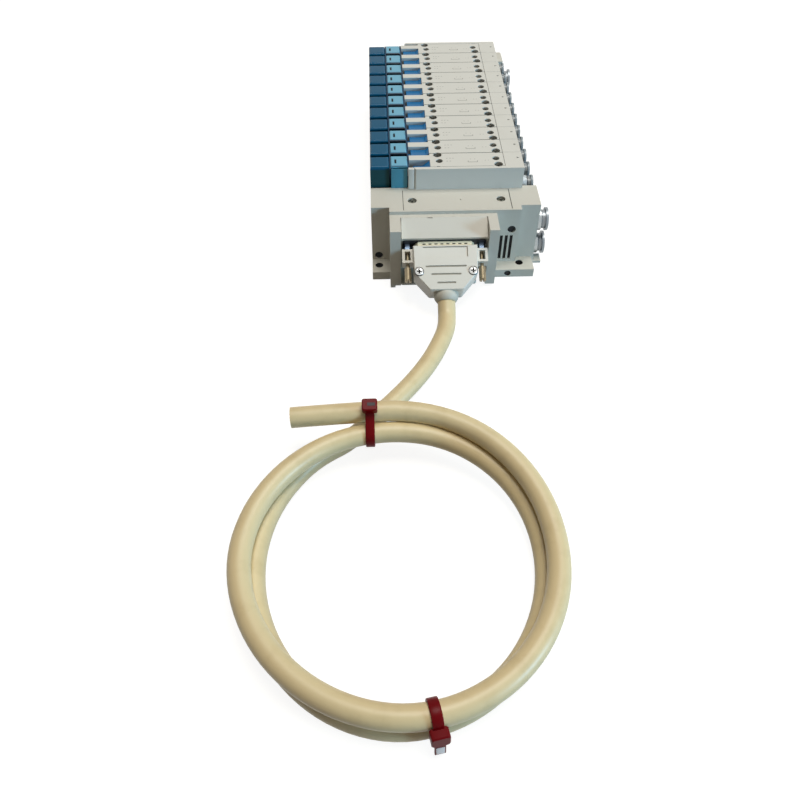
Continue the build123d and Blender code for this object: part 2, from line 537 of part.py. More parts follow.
HALF = HOOD_THICKNESS / 2
for side, name in ((-1, "hood_upper"), (1, "hood_lower")):
    with BuildPart() as hood:
        # broad shell, tapering to the cable
        with BuildSketch(HOOD):
            with BuildLine():
                Polyline(
                    (-HOOD_WIDTH / 2, HOOD_START),
                    (HOOD_WIDTH / 2, HOOD_START),
                    (HOOD_WIDTH / 2 - HOOD_TAPER, HOOD_BEND),
                    (HOOD_NECK / 2, HOOD_END),
                    (-HOOD_NECK / 2, HOOD_END),
                    (-HOOD_WIDTH / 2 + HOOD_TAPER, HOOD_BEND),
                    close=True,
                )
            outline = make_face()
            fillet(outline.vertices().sort_by(Axis.Z)[-2:], HOOD_CORNER)
        extrude(amount=side * HALF)
        chamfer(hood.faces().sort_by(Axis((0, 0, 0), (0, side * S, -side * C)))[-1].edges(), HOOD_BREAK)
        # ears that carry the jackscrews
        with BuildSketch(HOOD):
            for hand in (-1, 1):
                with Locations((hand * (HOOD_WIDTH + 2 * EAR_REACH) / 4, (EAR_START + EAR_END) / 2)):
                    Rectangle(EAR_REACH - HOOD_WIDTH / 2 + 2 * HOOD_TAPER, EAR_END - EAR_START)
                with Locations((hand * JACK_SPACING / 2, (EAR_START + EAR_END) / 2)):
                    Rectangle(EAR_WINDOW, EAR_END - EAR_START - 2 * EAR_WALL, mode=Mode.SUBTRACT)
        extrude(amount=side * EAR_THICKNESS / 2)
        # hollow inside, open at the front for the plug's shell
        with BuildSketch(HOOD):
            with BuildLine():
                Polyline(
                    (-HOOD_WIDTH / 2 + HOOD_WALL, HOOD_START + HOOD_WALL),
                    (HOOD_WIDTH / 2 - HOOD_WALL, HOOD_START + HOOD_WALL),
                    (HOOD_WIDTH / 2 - HOOD_WALL, HOOD_BEND - HOOD_WALL / 2),
                    (HOOD_NECK / 2 - HOOD_WALL / 2, HOOD_END - HOOD_WALL),
                    (-HOOD_NECK / 2 + HOOD_WALL / 2, HOOD_END - HOOD_WALL),
                    (-HOOD_WIDTH / 2 + HOOD_WALL, HOOD_BEND - HOOD_WALL / 2),
                    close=True,
                )
            make_face()
        extrude(amount=side * (HALF - HOOD_WALL), mode=Mode.SUBTRACT)
        with BuildSketch(PLUG.offset(HOOD_START)):
            Rectangle(PLUG_SHELL[0], PLUG_SHELL[1])
        extrude(amount=HOOD_WALL + FLANGE[2], mode=Mode.SUBTRACT)
        # seats of the screws, with their posts inside
        for hand in (-1, 1):
            with BuildSketch(HOOD):
                with Locations((hand * HOOD_SCREW_SPACING / 2, HOOD_SCREW_PLACE)):
                    Circle(HOOD_POST_RADIUS)
            extrude(amount=side * (HALF - HOOD_WALL / 2))
            with BuildSketch(HOOD):
                with Locations((hand * HOOD_SCREW_SPACING / 2, HOOD_SCREW_PLACE)):
                    Circle(HOOD_SHANK_RADIUS)
            extrude(amount=side * (HALF if side < 0 else HOOD_SCREW_GRIP), mode=Mode.SUBTRACT)
        # bore of the cable and seat of its grommet
        with BuildSketch(PLUG.offset(HOOD_END - HOOD_WALL)):
            Circle(GROMMET_SEAT)
        extrude(amount=HOOD_WALL, mode=Mode.SUBTRACT)
        # running holes of the jackscrews through the ears
        with BuildSketch(PLUG.offset(EAR_START)):
            with GridLocations(JACK_SPACING, 1, 2, 1):
                Circle(JACK_RADIUS + SHELL_PLAY / 2)
        extrude(amount=EAR_END - EAR_START, mode=Mode.SUBTRACT)
        if side < 0:
            with BuildSketch(HOOD.offset(-HALF)):
                with Locations((0, PANEL_START + PANEL[1] / 2)):
                    Rectangle(PANEL[0], PANEL[1])
                for place, length in GROOVES:
                    with Locations((0, place)):
                        SlotOverall(length, GROOVE_WIDTH)
            extrude(amount=PANEL[2], mode=Mode.SUBTRACT)
    hood.part.label = name
    export_step(hood.part, f"parts/{name}.step")

with BuildPart() as hood_screws:
    for hand in (-1, 1):
        with BuildSketch(HOOD.offset(-HALF)):
            with Locations((hand * HOOD_SCREW_SPACING / 2, HOOD_SCREW_PLACE)):
                Circle(HOOD_SCREW_RADIUS)
        extrude(amount=-HOOD_SCREW_RISE)
        with BuildSketch(HOOD.offset(-HALF)):
            with Locations((hand * HOOD_SCREW_SPACING / 2, HOOD_SCREW_PLACE)):
                Circle(HOOD_SHANK_RADIUS)
        extrude(amount=HALF + HOOD_SCREW_GRIP)
hood_screws.part.label = "hood_screws"
export_step(hood_screws.part, "parts/hood_screws.step")

with BuildPart() as cable_grommet:
    # half section through the plug's axis, turned about it: a domed collar with a waist in the hood's wall
    with BuildSketch(HOOD):
        with BuildLine():
            Line((CORD_RADIUS, HOOD_END - HOOD_WALL), (GROMMET_SEAT, HOOD_END - HOOD_WALL))
            Line((GROMMET_SEAT, HOOD_END - HOOD_WALL), (GROMMET_SEAT, HOOD_END))
            Line((GROMMET_SEAT, HOOD_END), (GROMMET_RADIUS, HOOD_END))
            dome_end = (CORD_RADIUS + GROMMET_LIP, GROMMET_END)
            RadiusArc((GROMMET_RADIUS, HOOD_END), dome_end, -GROMMET_DOME)
            Line(dome_end, (CORD_RADIUS, GROMMET_END))
            Line((CORD_RADIUS, GROMMET_END), (CORD_RADIUS, HOOD_END - HOOD_WALL))
        make_face()
    revolve(axis=Axis(PLUG.origin, PLUG.z_dir))
cable_grommet.part.label = "cable_grommet"
export_step(cable_grommet.part, "parts/cable_grommet.step")

# ================================================================ cable
lead_start = PLUG.origin + PLUG.z_dir * (HOOD_END - CORD_GRIP)
landing = PLUG.origin + PLUG.z_dir * ((PLUG.origin.Z - CORD_RADIUS) / S)
COIL_X, COIL_Y = landing.X + COIL_PLACE[0], landing.Y + COIL_PLACE[1]
COIL_HEIGHT = 4 * CORD_RADIUS
COIL_OUTSIDE = (COIL_A + COIL_BAND / 2, COIL_B + COIL_BAND / 2)


def coil_place(dx, sign):
    """Point of the coil's middle line at dx from its centre, and the turn of its tangent there."""
    y = sign * COIL_B * sqrt(1 - (dx / COIL_A) ** 2)
    return COIL_X + dx, COIL_Y + y, degrees(atan2(-COIL_B**2 * dx, COIL_A**2 * y))


TIES = (
    ("tie_upper", *coil_place(TIE_PLACES[0], 1), TIE_REACHES[0]),
    ("tie_lower", *coil_place(TIE_PLACES[1], -1), TIE_REACHES[1]),
)


def tie_grooves():
    """Cut grooves under the turns, where the ties pass."""
    for tie_name, x, y, turn, reach in TIES:
        with Locations(Location((x, y, TIE_THICKNESS / 2), (0, 0, turn))):
            Box(TIE_BAND, 3 * COIL_BAND, TIE_THICKNESS, mode=Mode.SUBTRACT)


LEAD_POINTS = (
    (lead_start.X, lead_start.Y, lead_start.Z),
    (landing.X, landing.Y, CORD_RADIUS),
    *[(landing.X + x, landing.Y + y, CORD_RADIUS) for x, y in (*LEAD_TURNS, LEAD_END)],
)
print("cord_lead bends", LEAD_RADII, "points", [tuple(round(v, 2) for v in p) for p in LEAD_POINTS])
with BuildPart() as cord_lead:
    with BuildLine() as lead_line:
        FilletPolyline(*LEAD_POINTS, radius=LEAD_RADII)
    with BuildSketch(Plane(origin=lead_line.line @ 0, z_dir=lead_line.line % 0)):
        Circle(CORD_RADIUS)
    sweep()
    tie_grooves()
cord_lead.part.label = "cord_lead"
export_step(cord_lead.part, "parts/cord_lead.step")

with BuildPart() as cord_coil:
    with BuildSketch():
        with Locations((COIL_X, COIL_Y)):
            Ellipse(*COIL_OUTSIDE)
            Ellipse(COIL_A - COIL_BAND / 2, COIL_B - COIL_BAND / 2, mode=Mode.SUBTRACT)
    extrude(amount=COIL_HEIGHT)
    tie_grooves()
cord_coil.part.label = "cord_coil"
export_step(cord_coil.part, "parts/cord_coil.step")

for name, x, y, turn, reach in TIES:
    with BuildPart() as tie:
        with BuildSketch(Plane(origin=(x, y, 0), x_dir=(-sin(radians(turn)), cos(radians(turn)), 0),
                               z_dir=(cos(radians(turn)), sin(radians(turn)), 0))):
            with Locations((reach / 2, (COIL_HEIGHT + TIE_THICKNESS) / 2)):
                opening = COIL_BAND + reach + 2 * TIE_SLACK
                Rectangle(opening + 2 * TIE_THICKNESS, COIL_HEIGHT + TIE_THICKNESS)
                Rectangle(opening, COIL_HEIGHT - TIE_THICKNESS, mode=Mode.SUBTRACT)
        extrude(amount=TIE_BAND / 2, both=True)
        with Locations(Location((x, y, COIL_HEIGHT + TIE_HEAD[2] / 2), (0, 0, turn))):
            Box(*TIE_HEAD)
    tie.part.label = name
    export_step(tie.part, f"parts/{name}.step")

tail_start, tail_end = [(landing.X + x, landing.Y + y, COIL_HEIGHT - CORD_RADIUS) for x, y in TAIL_PLACES]
with BuildPart() as cord_tail:
    with BuildLine() as tail_line:
        Line(tail_start, tail_end)
    with BuildSketch(Plane(origin=tail_start, z_dir=tail_line.line % 0)):
        Circle(CORD_RADIUS)
    sweep()
    # it lies along the coil's outer turn before it leaves it
    with BuildSketch():
        with Locations((COIL_X, COIL_Y)):
            Ellipse(*COIL_OUTSIDE)
    extrude(amount=COIL_HEIGHT, mode=Mode.SUBTRACT)
cord_tail.part.label = "cord_tail"
export_step(cord_tail.part, "parts/cord_tail.step")

# ================================================================ supply block and end block
with BuildPart() as supply_block:
    with BuildSketch():
        with Locations(((X_MAIN + X_RIGHT) / 2, (Y_CORNER + Y_ROW) / 2)):
            Rectangle(SUPPLY_LENGTH, CORNER_DEPTH + SIDE_PLATE)
    extrude(amount=BLOCK_Z)
    span(X_RIGHT, X_RIGHT + TAB[0], Y_CORNER, Y_CORNER + TAB[1], TAB[2], TAB[3])
    with Locations(*[(X_RIGHT - SUPPLY_DEPTH / 2, SUPPLY_Y, z) for z in SUPPLY_HEIGHTS]):
        Cylinder(SUPPLY_STEM_RADIUS, SUPPLY_DEPTH, rotation=(0, 90, 0), mode=Mode.SUBTRACT)
supply_block.part.label = "supply_block"
export_step(supply_block.part, "parts/supply_block.step")

with BuildPart() as end_block:
    with BuildSketch():
        with Locations(((X_LEFT + X_BACK) / 2, BACK_Y)):
            Rectangle(X_BACK - X_LEFT, BACK_BLOCK)
    extrude(amount=BLOCK_Z)
    fillet(end_block.edges().filter_by(Axis.Z).group_by(Axis.Y)[-1], BACK_CORNER)
    with Locations(*[(X_BACK - SUPPLY_DEPTH / 2, BACK_Y, z) for z in SUPPLY_HEIGHTS]):
        Cylinder(SUPPLY_STEM_RADIUS, SUPPLY_DEPTH, rotation=(0, 90, 0), mode=Mode.SUBTRACT)
    with Locations((X_LEFT + BACK_HOLES[0], BACK_Y, BLOCK_Z), (X_MAIN - BACK_HOLES[1], BACK_Y, BLOCK_Z)):
        CounterBoreHole(FOOT_HOLE_RADIUS, BACK_BORE_RADIUS, BACK_BORE_DEPTH, BLOCK_Z)
    with BuildSketch(Plane.XZ.offset(-Y_ROW_END)):
        with Locations(*RODS):
            Circle(ROD_RADIUS + ROD_CLEARANCE)
    extrude(amount=-ROD_ENDS, mode=Mode.SUBTRACT)
end_block.part.label = "end_block"
export_step(end_block.part, "parts/end_block.step")

# one sleeve turned about X: a stem in the block's bore, a tube stop and a wider lip outside
with BuildPart() as supply_fittings:
    for x_face, y in ((X_RIGHT, SUPPLY_Y), (X_BACK, BACK_Y)):
        for z in SUPPLY_HEIGHTS:
            with BuildSketch(Plane.XZ.offset(-y)):
                with BuildLine():
                    Polyline(
                        (x_face - SUPPLY_DEPTH, z + SUPPLY_TUBE_RADIUS - SUPPLY_LEDGE),
                        (x_face - SUPPLY_DEPTH, z + SUPPLY_STEM_RADIUS),
                        (x_face, z + SUPPLY_STEM_RADIUS),
                        (x_face, z + SUPPLY_SLEEVE_RADIUS),
                        (x_face + SUPPLY_SLEEVE_REACH - SUPPLY_LEDGE / 2, z + SUPPLY_SLEEVE_RADIUS),
                        (x_face + SUPPLY_SLEEVE_REACH, z + SUPPLY_SLEEVE_RADIUS - SUPPLY_LEDGE / 2),
                        (x_face + SUPPLY_SLEEVE_REACH, z + SUPPLY_NECK_RADIUS + RUNNING_CLEARANCE),
                        (x_face - SUPPLY_STOP, z + SUPPLY_NECK_RADIUS + RUNNING_CLEARANCE),
                        (x_face - SUPPLY_STOP, z + SUPPLY_TUBE_RADIUS - SUPPLY_LEDGE),
                        close=True,
                    )
                make_face()
            revolve(axis=Axis((x_face, y, z), (1, 0, 0)))
supply_fittings.part.label = "supply_fittings"
export_step(supply_fittings.part, "parts/supply_fittings.step")

COLLARS = (
    ("supply_collar", X_RIGHT, SUPPLY_Y, SUPPLY_HEIGHTS[0]),
    ("exhaust_collar", X_RIGHT, SUPPLY_Y, SUPPLY_HEIGHTS[1]),
    ("far_supply_collar", X_BACK, BACK_Y, SUPPLY_HEIGHTS[0]),
    ("far_exhaust_collar", X_BACK, BACK_Y, SUPPLY_HEIGHTS[1]),
)
for name, x_face, y, z in COLLARS:
    with BuildPart() as collar:
        with BuildSketch(Plane.XZ.offset(-y)):
            with BuildLine():
                x_rim = x_face + SUPPLY_COLLAR_REACH
                Polyline(
                    (x_face - SUPPLY_STOP + 2 * COLLAR_TRAVEL, z + SUPPLY_TUBE_RADIUS),
                    (x_face - SUPPLY_STOP + 2 * COLLAR_TRAVEL, z + SUPPLY_NECK_RADIUS),
                    (x_rim - SUPPLY_COLLAR_RIM, z + SUPPLY_NECK_RADIUS),
                    (x_rim - SUPPLY_COLLAR_RIM, z + SUPPLY_COLLAR_RADIUS),
                    (x_rim, z + SUPPLY_COLLAR_RADIUS),
                    (x_rim, z + SUPPLY_TUBE_RADIUS + EDGE_BREAK),
                    (x_rim - EDGE_BREAK, z + SUPPLY_TUBE_RADIUS),
                    close=True,
                )
            make_face()
        revolve(axis=Axis((x_face, y, z), (1, 0, 0)))
    collar.part.label = name
    export_step(collar.part, f"parts/{name}.step")

with BuildPart() as tie_rods:
    with BuildSketch(Plane.XZ.offset(-Y_ROW + SIDE_PLATE + ROD_ENDS)):
        with Locations(*RODS):
            Circle(ROD_RADIUS)
    extrude(amount=-(ROW_LENGTH + SIDE_PLATE + 2 * ROD_ENDS))
tie_rods.part.label = "tie_rods"
export_step(tie_rods.part, "parts/tie_rods.step")

# ================================================================ manifold bases with their port heads
with BuildPart() as manifold_base:
    with BuildSketch(Plane.XZ.offset(-Y_ROW)):
        with BuildLine():
            Polyline(
                (X_LEFT + BASE_INSET, BASE_Z),
                (X_HEAD_END, BASE_Z),
                (X_HEAD_END, TOP_Z),
                (X_BODY_END, TOP_Z),
                (X_BODY_END, SEAT_Z),
                (X_LEFT + BASE_INSET, SEAT_Z),
                close=True,
            )
        make_face()
        with Locations(*RODS):
            Circle(ROD_RADIUS + ROD_CLEARANCE, mode=Mode.SUBTRACT)
    extrude(amount=-ROW_LENGTH)
    # seams between the stations, over the port heads
    for y in STATION_STARTS[1:]:
        span(X_BODY_END, X_HEAD_END, y - SEAM / 2, y + SEAM / 2, TOP_Z - SEAM_DEPTH, TOP_Z, mode=Mode.SUBTRACT)
        span(X_HEAD_END - SEAM_DEPTH, X_HEAD_END, y - SEAM / 2, y + SEAM / 2, BASE_Z, TOP_Z, mode=Mode.SUBTRACT)
    for y in STATION_STARTS:
        with Locations(*[(X_HEAD_END - PORT_DEPTH / 2, y + PITCH / 2, z) for z in PORT_HEIGHTS]):
            Cylinder(PORT_SLEEVE_RADIUS, PORT_DEPTH, rotation=(0, 90, 0), mode=Mode.SUBTRACT)
        for x, along in TIE_SCREWS:
            with Locations((x, y + along, SEAT_Z - TIE_SCREW_GRIP / 2)):
                Cylinder(TIE_SHANK_RADIUS, TIE_SCREW_GRIP, mode=Mode.SUBTRACT)
manifold_base.part.label = "manifold_base"
export_step(manifold_base.part, "parts/manifold_base.step")

with BuildPart() as port_fittings:
    for y in STATION_STARTS:
        for z in PORT_HEIGHTS:
            with BuildSketch(Plane.XZ.offset(-y - PITCH / 2)):
                with BuildLine():
                    Polyline(
                        (X_HEAD_END - PORT_DEPTH, z + PORT_CAVITY_RADIUS),
                        (X_HEAD_END - PORT_DEPTH, z + PORT_SLEEVE_RADIUS),
                        (X_HEAD_END + PORT_SLEEVE_REACH, z + PORT_SLEEVE_RADIUS),
                        (X_HEAD_END + PORT_SLEEVE_REACH, z + PORT_NECK_RADIUS),
                        (X_HEAD_END + PORT_COLLAR_REACH - PORT_COLLAR_RIM, z + PORT_NECK_RADIUS),
                        (X_HEAD_END + PORT_COLLAR_REACH - PORT_COLLAR_RIM, z + PORT_COLLAR_RADIUS),
                        (X_HEAD_END + PORT_COLLAR_REACH, z + PORT_COLLAR_RADIUS),
                        (X_HEAD_END + PORT_COLLAR_REACH, z + PORT_TUBE_RADIUS),
                        (X_HEAD_END + PORT_COLLAR_START, z + PORT_TUBE_RADIUS),
                        (X_HEAD_END + PORT_COLLAR_START, z + PORT_CAVITY_RADIUS),
                        close=True,
                    )
                make_face()
            revolve(axis=Axis((X_HEAD_END, y + PITCH / 2, z), (1, 0, 0)))
port_fittings.part.label = "port_fittings"
export_step(port_fittings.part, "parts/port_fittings.step")

with BuildPart() as gaskets:
    for y in STATION_STARTS:
        with BuildSketch(Plane.XY.offset(SEAT_Z)):
            with Locations(((X_LEFT + BASE_INSET + X_BODY_END) / 2, y + PITCH / 2)):
                Rectangle(X_BODY_END - X_LEFT - BASE_INSET - 2 * GASKET_INSET, PITCH - GASKET_INSET)
            for x, along in TIE_SCREWS:
                with Locations((x, y + along)):
                    Circle(TIE_SHANK_RADIUS + SEAM, mode=Mode.SUBTRACT)
        extrude(amount=GASKET)
gaskets.part.label = "gaskets"
export_step(gaskets.part, "parts/gaskets.step")

# ================================================================ valves
for number, y in enumerate(STATION_STARTS, start=1):
    with BuildPart() as valve_body:
        # side profile, with the deck of the pilot end and the shelf under the slider
        with BuildSketch(Plane.XZ.offset(-y - SEAM / 2)):
            with BuildLine():
                Polyline(
                    (X_LEFT + BASE_INSET, SEAT_Z + GASKET),
                    (X_BODY_END - SEAM, SEAT_Z + GASKET),
                    (X_BODY_END - SEAM, TOP_Z),
                    (X_POCKET, TOP_Z),
                    (X_POCKET, CHANNEL_Z),
                    (X_SHELF, CHANNEL_Z),
                    (X_SHELF, DECK_Z),
                    (X_LEFT + BASE_INSET, DECK_Z),
                    close=True,
                )
            make_face()
        extrude(amount=-(PITCH - SEAM))
        chamfer(valve_body.faces().sort_by(Axis.Z)[-1].edges().filter_by(Axis.X), EDGE_BREAK)
        # override pocket, open at its near side, and the low strip behind its rib
        span(X_POCKET, X_POCKET_END, y, y + PLATE_WIDTH, CHANNEL_Z, TOP_Z, mode=Mode.SUBTRACT)
        span(X_POCKET, X_POCKET_END, y + PITCH - RIB_BACK, y + PITCH, CHANNEL_Z, TOP_Z, mode=Mode.SUBTRACT)
        # seats of the screws
        for x, along in LOW_SCREWS:
            with Locations((x, y + along, TOP_Z)):
                Hole(LOW_SCREW_RADIUS + SEAM / 2, LOW_SCREW_DEPTH)
        for x, along in TIE_SCREWS:
            with Locations((x, y + along, TOP_Z)):
                CounterBoreHole(
                    TIE_SHANK_RADIUS + SEAM / 2,
                    TIE_SCREW_RADIUS + SEAM / 2,
                    TIE_HEAD_HEIGHT + HEAD_SINK,
                    TOP_Z - SEAT_Z,
                )
        # the neighbours' screw seats reach over the seam
        notch = TIE_HEAD_HEIGHT + HEAD_SINK
        for (x, along), side in zip(TIE_SCREWS, (-1, 1)):
            with Locations((x, y + along + side * PITCH, TOP_Z - notch / 2)):
                Cylinder(TIE_SCREW_RADIUS + SEAM / 2, notch, mode=Mode.SUBTRACT)
    valve_body.part.label = f"valve_body_{number:02d}"
    export_step(valve_body.part, f"parts/valve_body_{number:02d}.step")

for number, y in enumerate(STATION_STARTS, start=1):
    with BuildPart() as override_slider:
        # plate with a thumb ramp at its port end and a tongue that runs under the coil cover
        floor = CHANNEL_Z + SLIDER_PLAY
        x_plate = X_POCKET + SLIDER_TRAVEL + SLIDER_PLAY
        x_end = X_POCKET_END - SLIDER_PLAY
        with BuildSketch(Plane.XZ.offset(-y - SEAM - SLIDER_PLAY)):
            with BuildLine():
                Polyline(
                    (x_plate, floor),
                    (x_end, floor),
                    (x_end, floor + SLIDER_THICKNESS + RAMP_HEIGHT),
                    (x_end - RAMP_LENGTH, floor + SLIDER_THICKNESS),
                    (x_plate, floor + SLIDER_THICKNESS),
                    close=True,
                )
            make_face()
        extrude(amount=-(PLATE_WIDTH - SEAM - 2 * SLIDER_PLAY))
        with BuildSketch(Plane.XY.offset(floor)):
            with Locations((x_plate - TONGUE_LENGTH / 2, y + PLATE_WIDTH / 2)):
                Rectangle(TONGUE_LENGTH, TONGUE_WIDTH)
        extrude(amount=SLIDER_THICKNESS)
    override_slider.part.label = f"override_slider_{number:02d}"
    export_step(override_slider.part, f"parts/override_slider_{number:02d}.step")

with BuildPart() as pilot_caps:
    for y in STATION_STARTS:
        with BuildPart(mode=Mode.PRIVATE) as one_cap:
            with BuildSketch(Plane.XY.offset(DECK_Z)):
                with Locations(((X_LEFT + X_CAP_END) / 2, y + PITCH / 2)):
                    Rectangle(CAP_LENGTH, CAP_WIDTH)
            extrude(amount=CAP_TOP - DECK_Z)
            fillet(one_cap.faces().sort_by(Axis.Z)[-1].edges(), CAP_ROUND)
        add(one_cap.part)
pilot_caps.part.label = "pilot_caps"
export_step(pilot_caps.part, "parts/pilot_caps.step")

with BuildPart() as coil_covers:
    for y in STATION_STARTS:
        with BuildPart(mode=Mode.PRIVATE) as one_cover:
            with BuildSketch(Plane.XZ.offset(-y - (PITCH - CAP_WIDTH) / 2)):
                with BuildLine():
                    Polyline(
                        (X_COVER, DECK_Z),
                        (X_SHELF, DECK_Z),
                        (X_SHELF, CHANNEL_Z),
                        (X_COVER_END, CHANNEL_Z),
                        (X_COVER_END, CAP_TOP),
                        (X_COVER, CAP_TOP),
                        close=True,
                    )
                make_face()
            extrude(amount=-CAP_WIDTH)
            chamfer(one_cover.faces().sort_by(Axis.Z)[-1].edges(), 2 * EDGE_BREAK)
            # recess for the slider's tongue
            span(
                X_SHELF,
                X_COVER_END,
                y + PLATE_WIDTH / 2 - TONGUE_WIDTH / 2 - SLIDER_PLAY,
                y + PLATE_WIDTH / 2 + TONGUE_WIDTH / 2 + SLIDER_PLAY,
                CHANNEL_Z,
                CHANNEL_Z + SLIDER_THICKNESS + 2 * SLIDER_PLAY,
                mode=Mode.SUBTRACT,
            )
            # window
            with BuildSketch(Plane.XY.offset(CAP_TOP)):
                with Locations((X_COVER + MARK_PLACE, y + PITCH / 2)):
                    Rectangle(MARK_WIDTH, MARK_LENGTH)
            extrude(amount=-MARK_DEPTH, mode=Mode.SUBTRACT)
        add(one_cover.part)
coil_covers.part.label = "coil_covers"
export_step(coil_covers.part, "parts/coil_covers.step")

for name, y in (("side_plate_near", Y_FACE), ("side_plate_far", Y_ROW_END)):
    with BuildPart() as side_plate:
        with BuildSketch(Plane.XZ.offset(-y)):
            with BuildLine():
                Polyline(
                    (X_POCKET + PLATE_START, BLOCK_Z),
                    (X_HEAD_END, BLOCK_Z),
                    (X_HEAD_END, TOP_Z),
                    (X_POCKET + PLATE_START, TOP_Z),
                    close=True,
                )
            make_face()
        extrude(amount=-SIDE_PLATE)
        outer = side_plate.faces().sort_by(Axis.Y)[0 if y == Y_FACE else -1]
        chamfer(outer.edges().filter_by(Axis.Z).sort_by(Axis.X)[0], PLATE_CHAMFER)
        # seats of the end stations' screws
        notch = TIE_HEAD_HEIGHT + HEAD_SINK
        with Locations(
            (TIE_SCREWS[1][0], STATION_STARTS[0] + TIE_SCREWS[1][1], TOP_Z - notch / 2),
            (TIE_SCREWS[0][0], STATION_STARTS[-1] + TIE_SCREWS[0][1], TOP_Z - notch / 2),
        ):
            Cylinder(TIE_SCREW_RADIUS + SEAM / 2, notch, mode=Mode.SUBTRACT)
    side_plate.part.label = name
    export_step(side_plate.part, f"parts/{name}.step")

with BuildPart() as low_screws:
    for y in STATION_STARTS:
        for x, along in LOW_SCREWS:
            with Locations((x, y + along, TOP_Z - (HEAD_SINK + LOW_SCREW_DEPTH) / 2)):
                Cylinder(LOW_SCREW_RADIUS, LOW_SCREW_DEPTH - HEAD_SINK)
low_screws.part.label = "low_screws"
export_step(low_screws.part, "parts/low_screws.step")

with BuildPart() as tie_screws:
    for y in STATION_STARTS:
        for x, along in TIE_SCREWS:
            with Locations((x, y + along, TOP_Z - HEAD_SINK - TIE_HEAD_HEIGHT / 2)):
                Cylinder(TIE_SCREW_RADIUS, TIE_HEAD_HEIGHT)
            shank = TOP_Z - HEAD_SINK - TIE_HEAD_HEIGHT - SEAT_Z + TIE_SCREW_GRIP
            with Locations((x, y + along, SEAT_Z - TIE_SCREW_GRIP + shank / 2)):
                Cylinder(TIE_SHANK_RADIUS, shank)
tie_screws.part.label = "tie_screws"
export_step(tie_screws.part, "parts/tie_screws.step")
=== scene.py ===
"""Eleven-station pneumatic valve island with a coiled cable: finishes, screws, print, ties and stage."""
import math

import bmesh
import bpy
import numpy as np
from bpy.props import FloatProperty, FloatVectorProperty, PointerProperty
from bpy.types import Operator, Panel, PropertyGroup
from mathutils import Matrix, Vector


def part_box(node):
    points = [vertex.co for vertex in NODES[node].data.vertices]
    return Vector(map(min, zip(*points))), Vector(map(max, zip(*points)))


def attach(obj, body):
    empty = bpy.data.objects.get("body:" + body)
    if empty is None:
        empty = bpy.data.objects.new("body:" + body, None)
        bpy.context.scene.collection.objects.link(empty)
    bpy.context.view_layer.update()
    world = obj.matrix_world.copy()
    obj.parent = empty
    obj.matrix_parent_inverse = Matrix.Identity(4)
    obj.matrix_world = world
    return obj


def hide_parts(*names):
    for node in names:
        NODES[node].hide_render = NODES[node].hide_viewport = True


bl_info = {
    "name": "Valve island dressing",
    "version": (1, 0, 0),
    "blender": (4, 5, 0),
    "location": "3D View > Sidebar > Valve Island",
    "description": "Finishes, screws, print, cable, cable ties and stage for an eleven-station valve island",
    "category": "Object",
}

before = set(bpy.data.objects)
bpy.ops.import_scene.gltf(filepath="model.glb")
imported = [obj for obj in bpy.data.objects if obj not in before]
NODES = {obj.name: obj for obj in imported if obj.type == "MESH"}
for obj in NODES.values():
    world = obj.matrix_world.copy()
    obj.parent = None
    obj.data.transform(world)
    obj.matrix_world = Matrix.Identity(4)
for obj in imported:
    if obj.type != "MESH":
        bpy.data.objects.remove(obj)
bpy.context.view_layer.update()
MM = 0.001
STATIONS = sorted(n for n in NODES if n.startswith("valve_body_"))
SLIDERS = sorted(n for n in NODES if n.startswith("override_slider_"))
AROUND = np.arange(32) * math.pi / 16                 # a full turn in 32 steps
UPRIGHT = ((1, 0, 0), (0, 1, 0), (0, 0, 1))           # outline seen from above, carried up
FACING = ((1, 0, 0), (0, 0, 1), (0, 1, 0))            # outline seen from the near end, carried along the row


# ------------------------------------------------------------------ colours and materials
def linear(code):
    """Linear RGB of an sRGB hex colour."""
    value = np.array([int(code[i:i + 2], 16) for i in (1, 3, 5)]) / 255
    return np.where(value <= 0.04045, value / 12.92, ((value + 0.055) / 1.055) ** 2.4).tolist()


def add_node(tree, kind, settings=None, links=None):
    """Add a node. Settings name its attributes or its inputs, and links maps its inputs to outputs."""
    node = tree.nodes.new(kind)
    for key, value in (settings or {}).items():
        if isinstance(key, int) or key in node.inputs:
            node.inputs[key].default_value = value
        else:
            setattr(node, key, value)
    for key, output in (links or {}).items():
        tree.links.new(output, node.inputs[key])
    return node


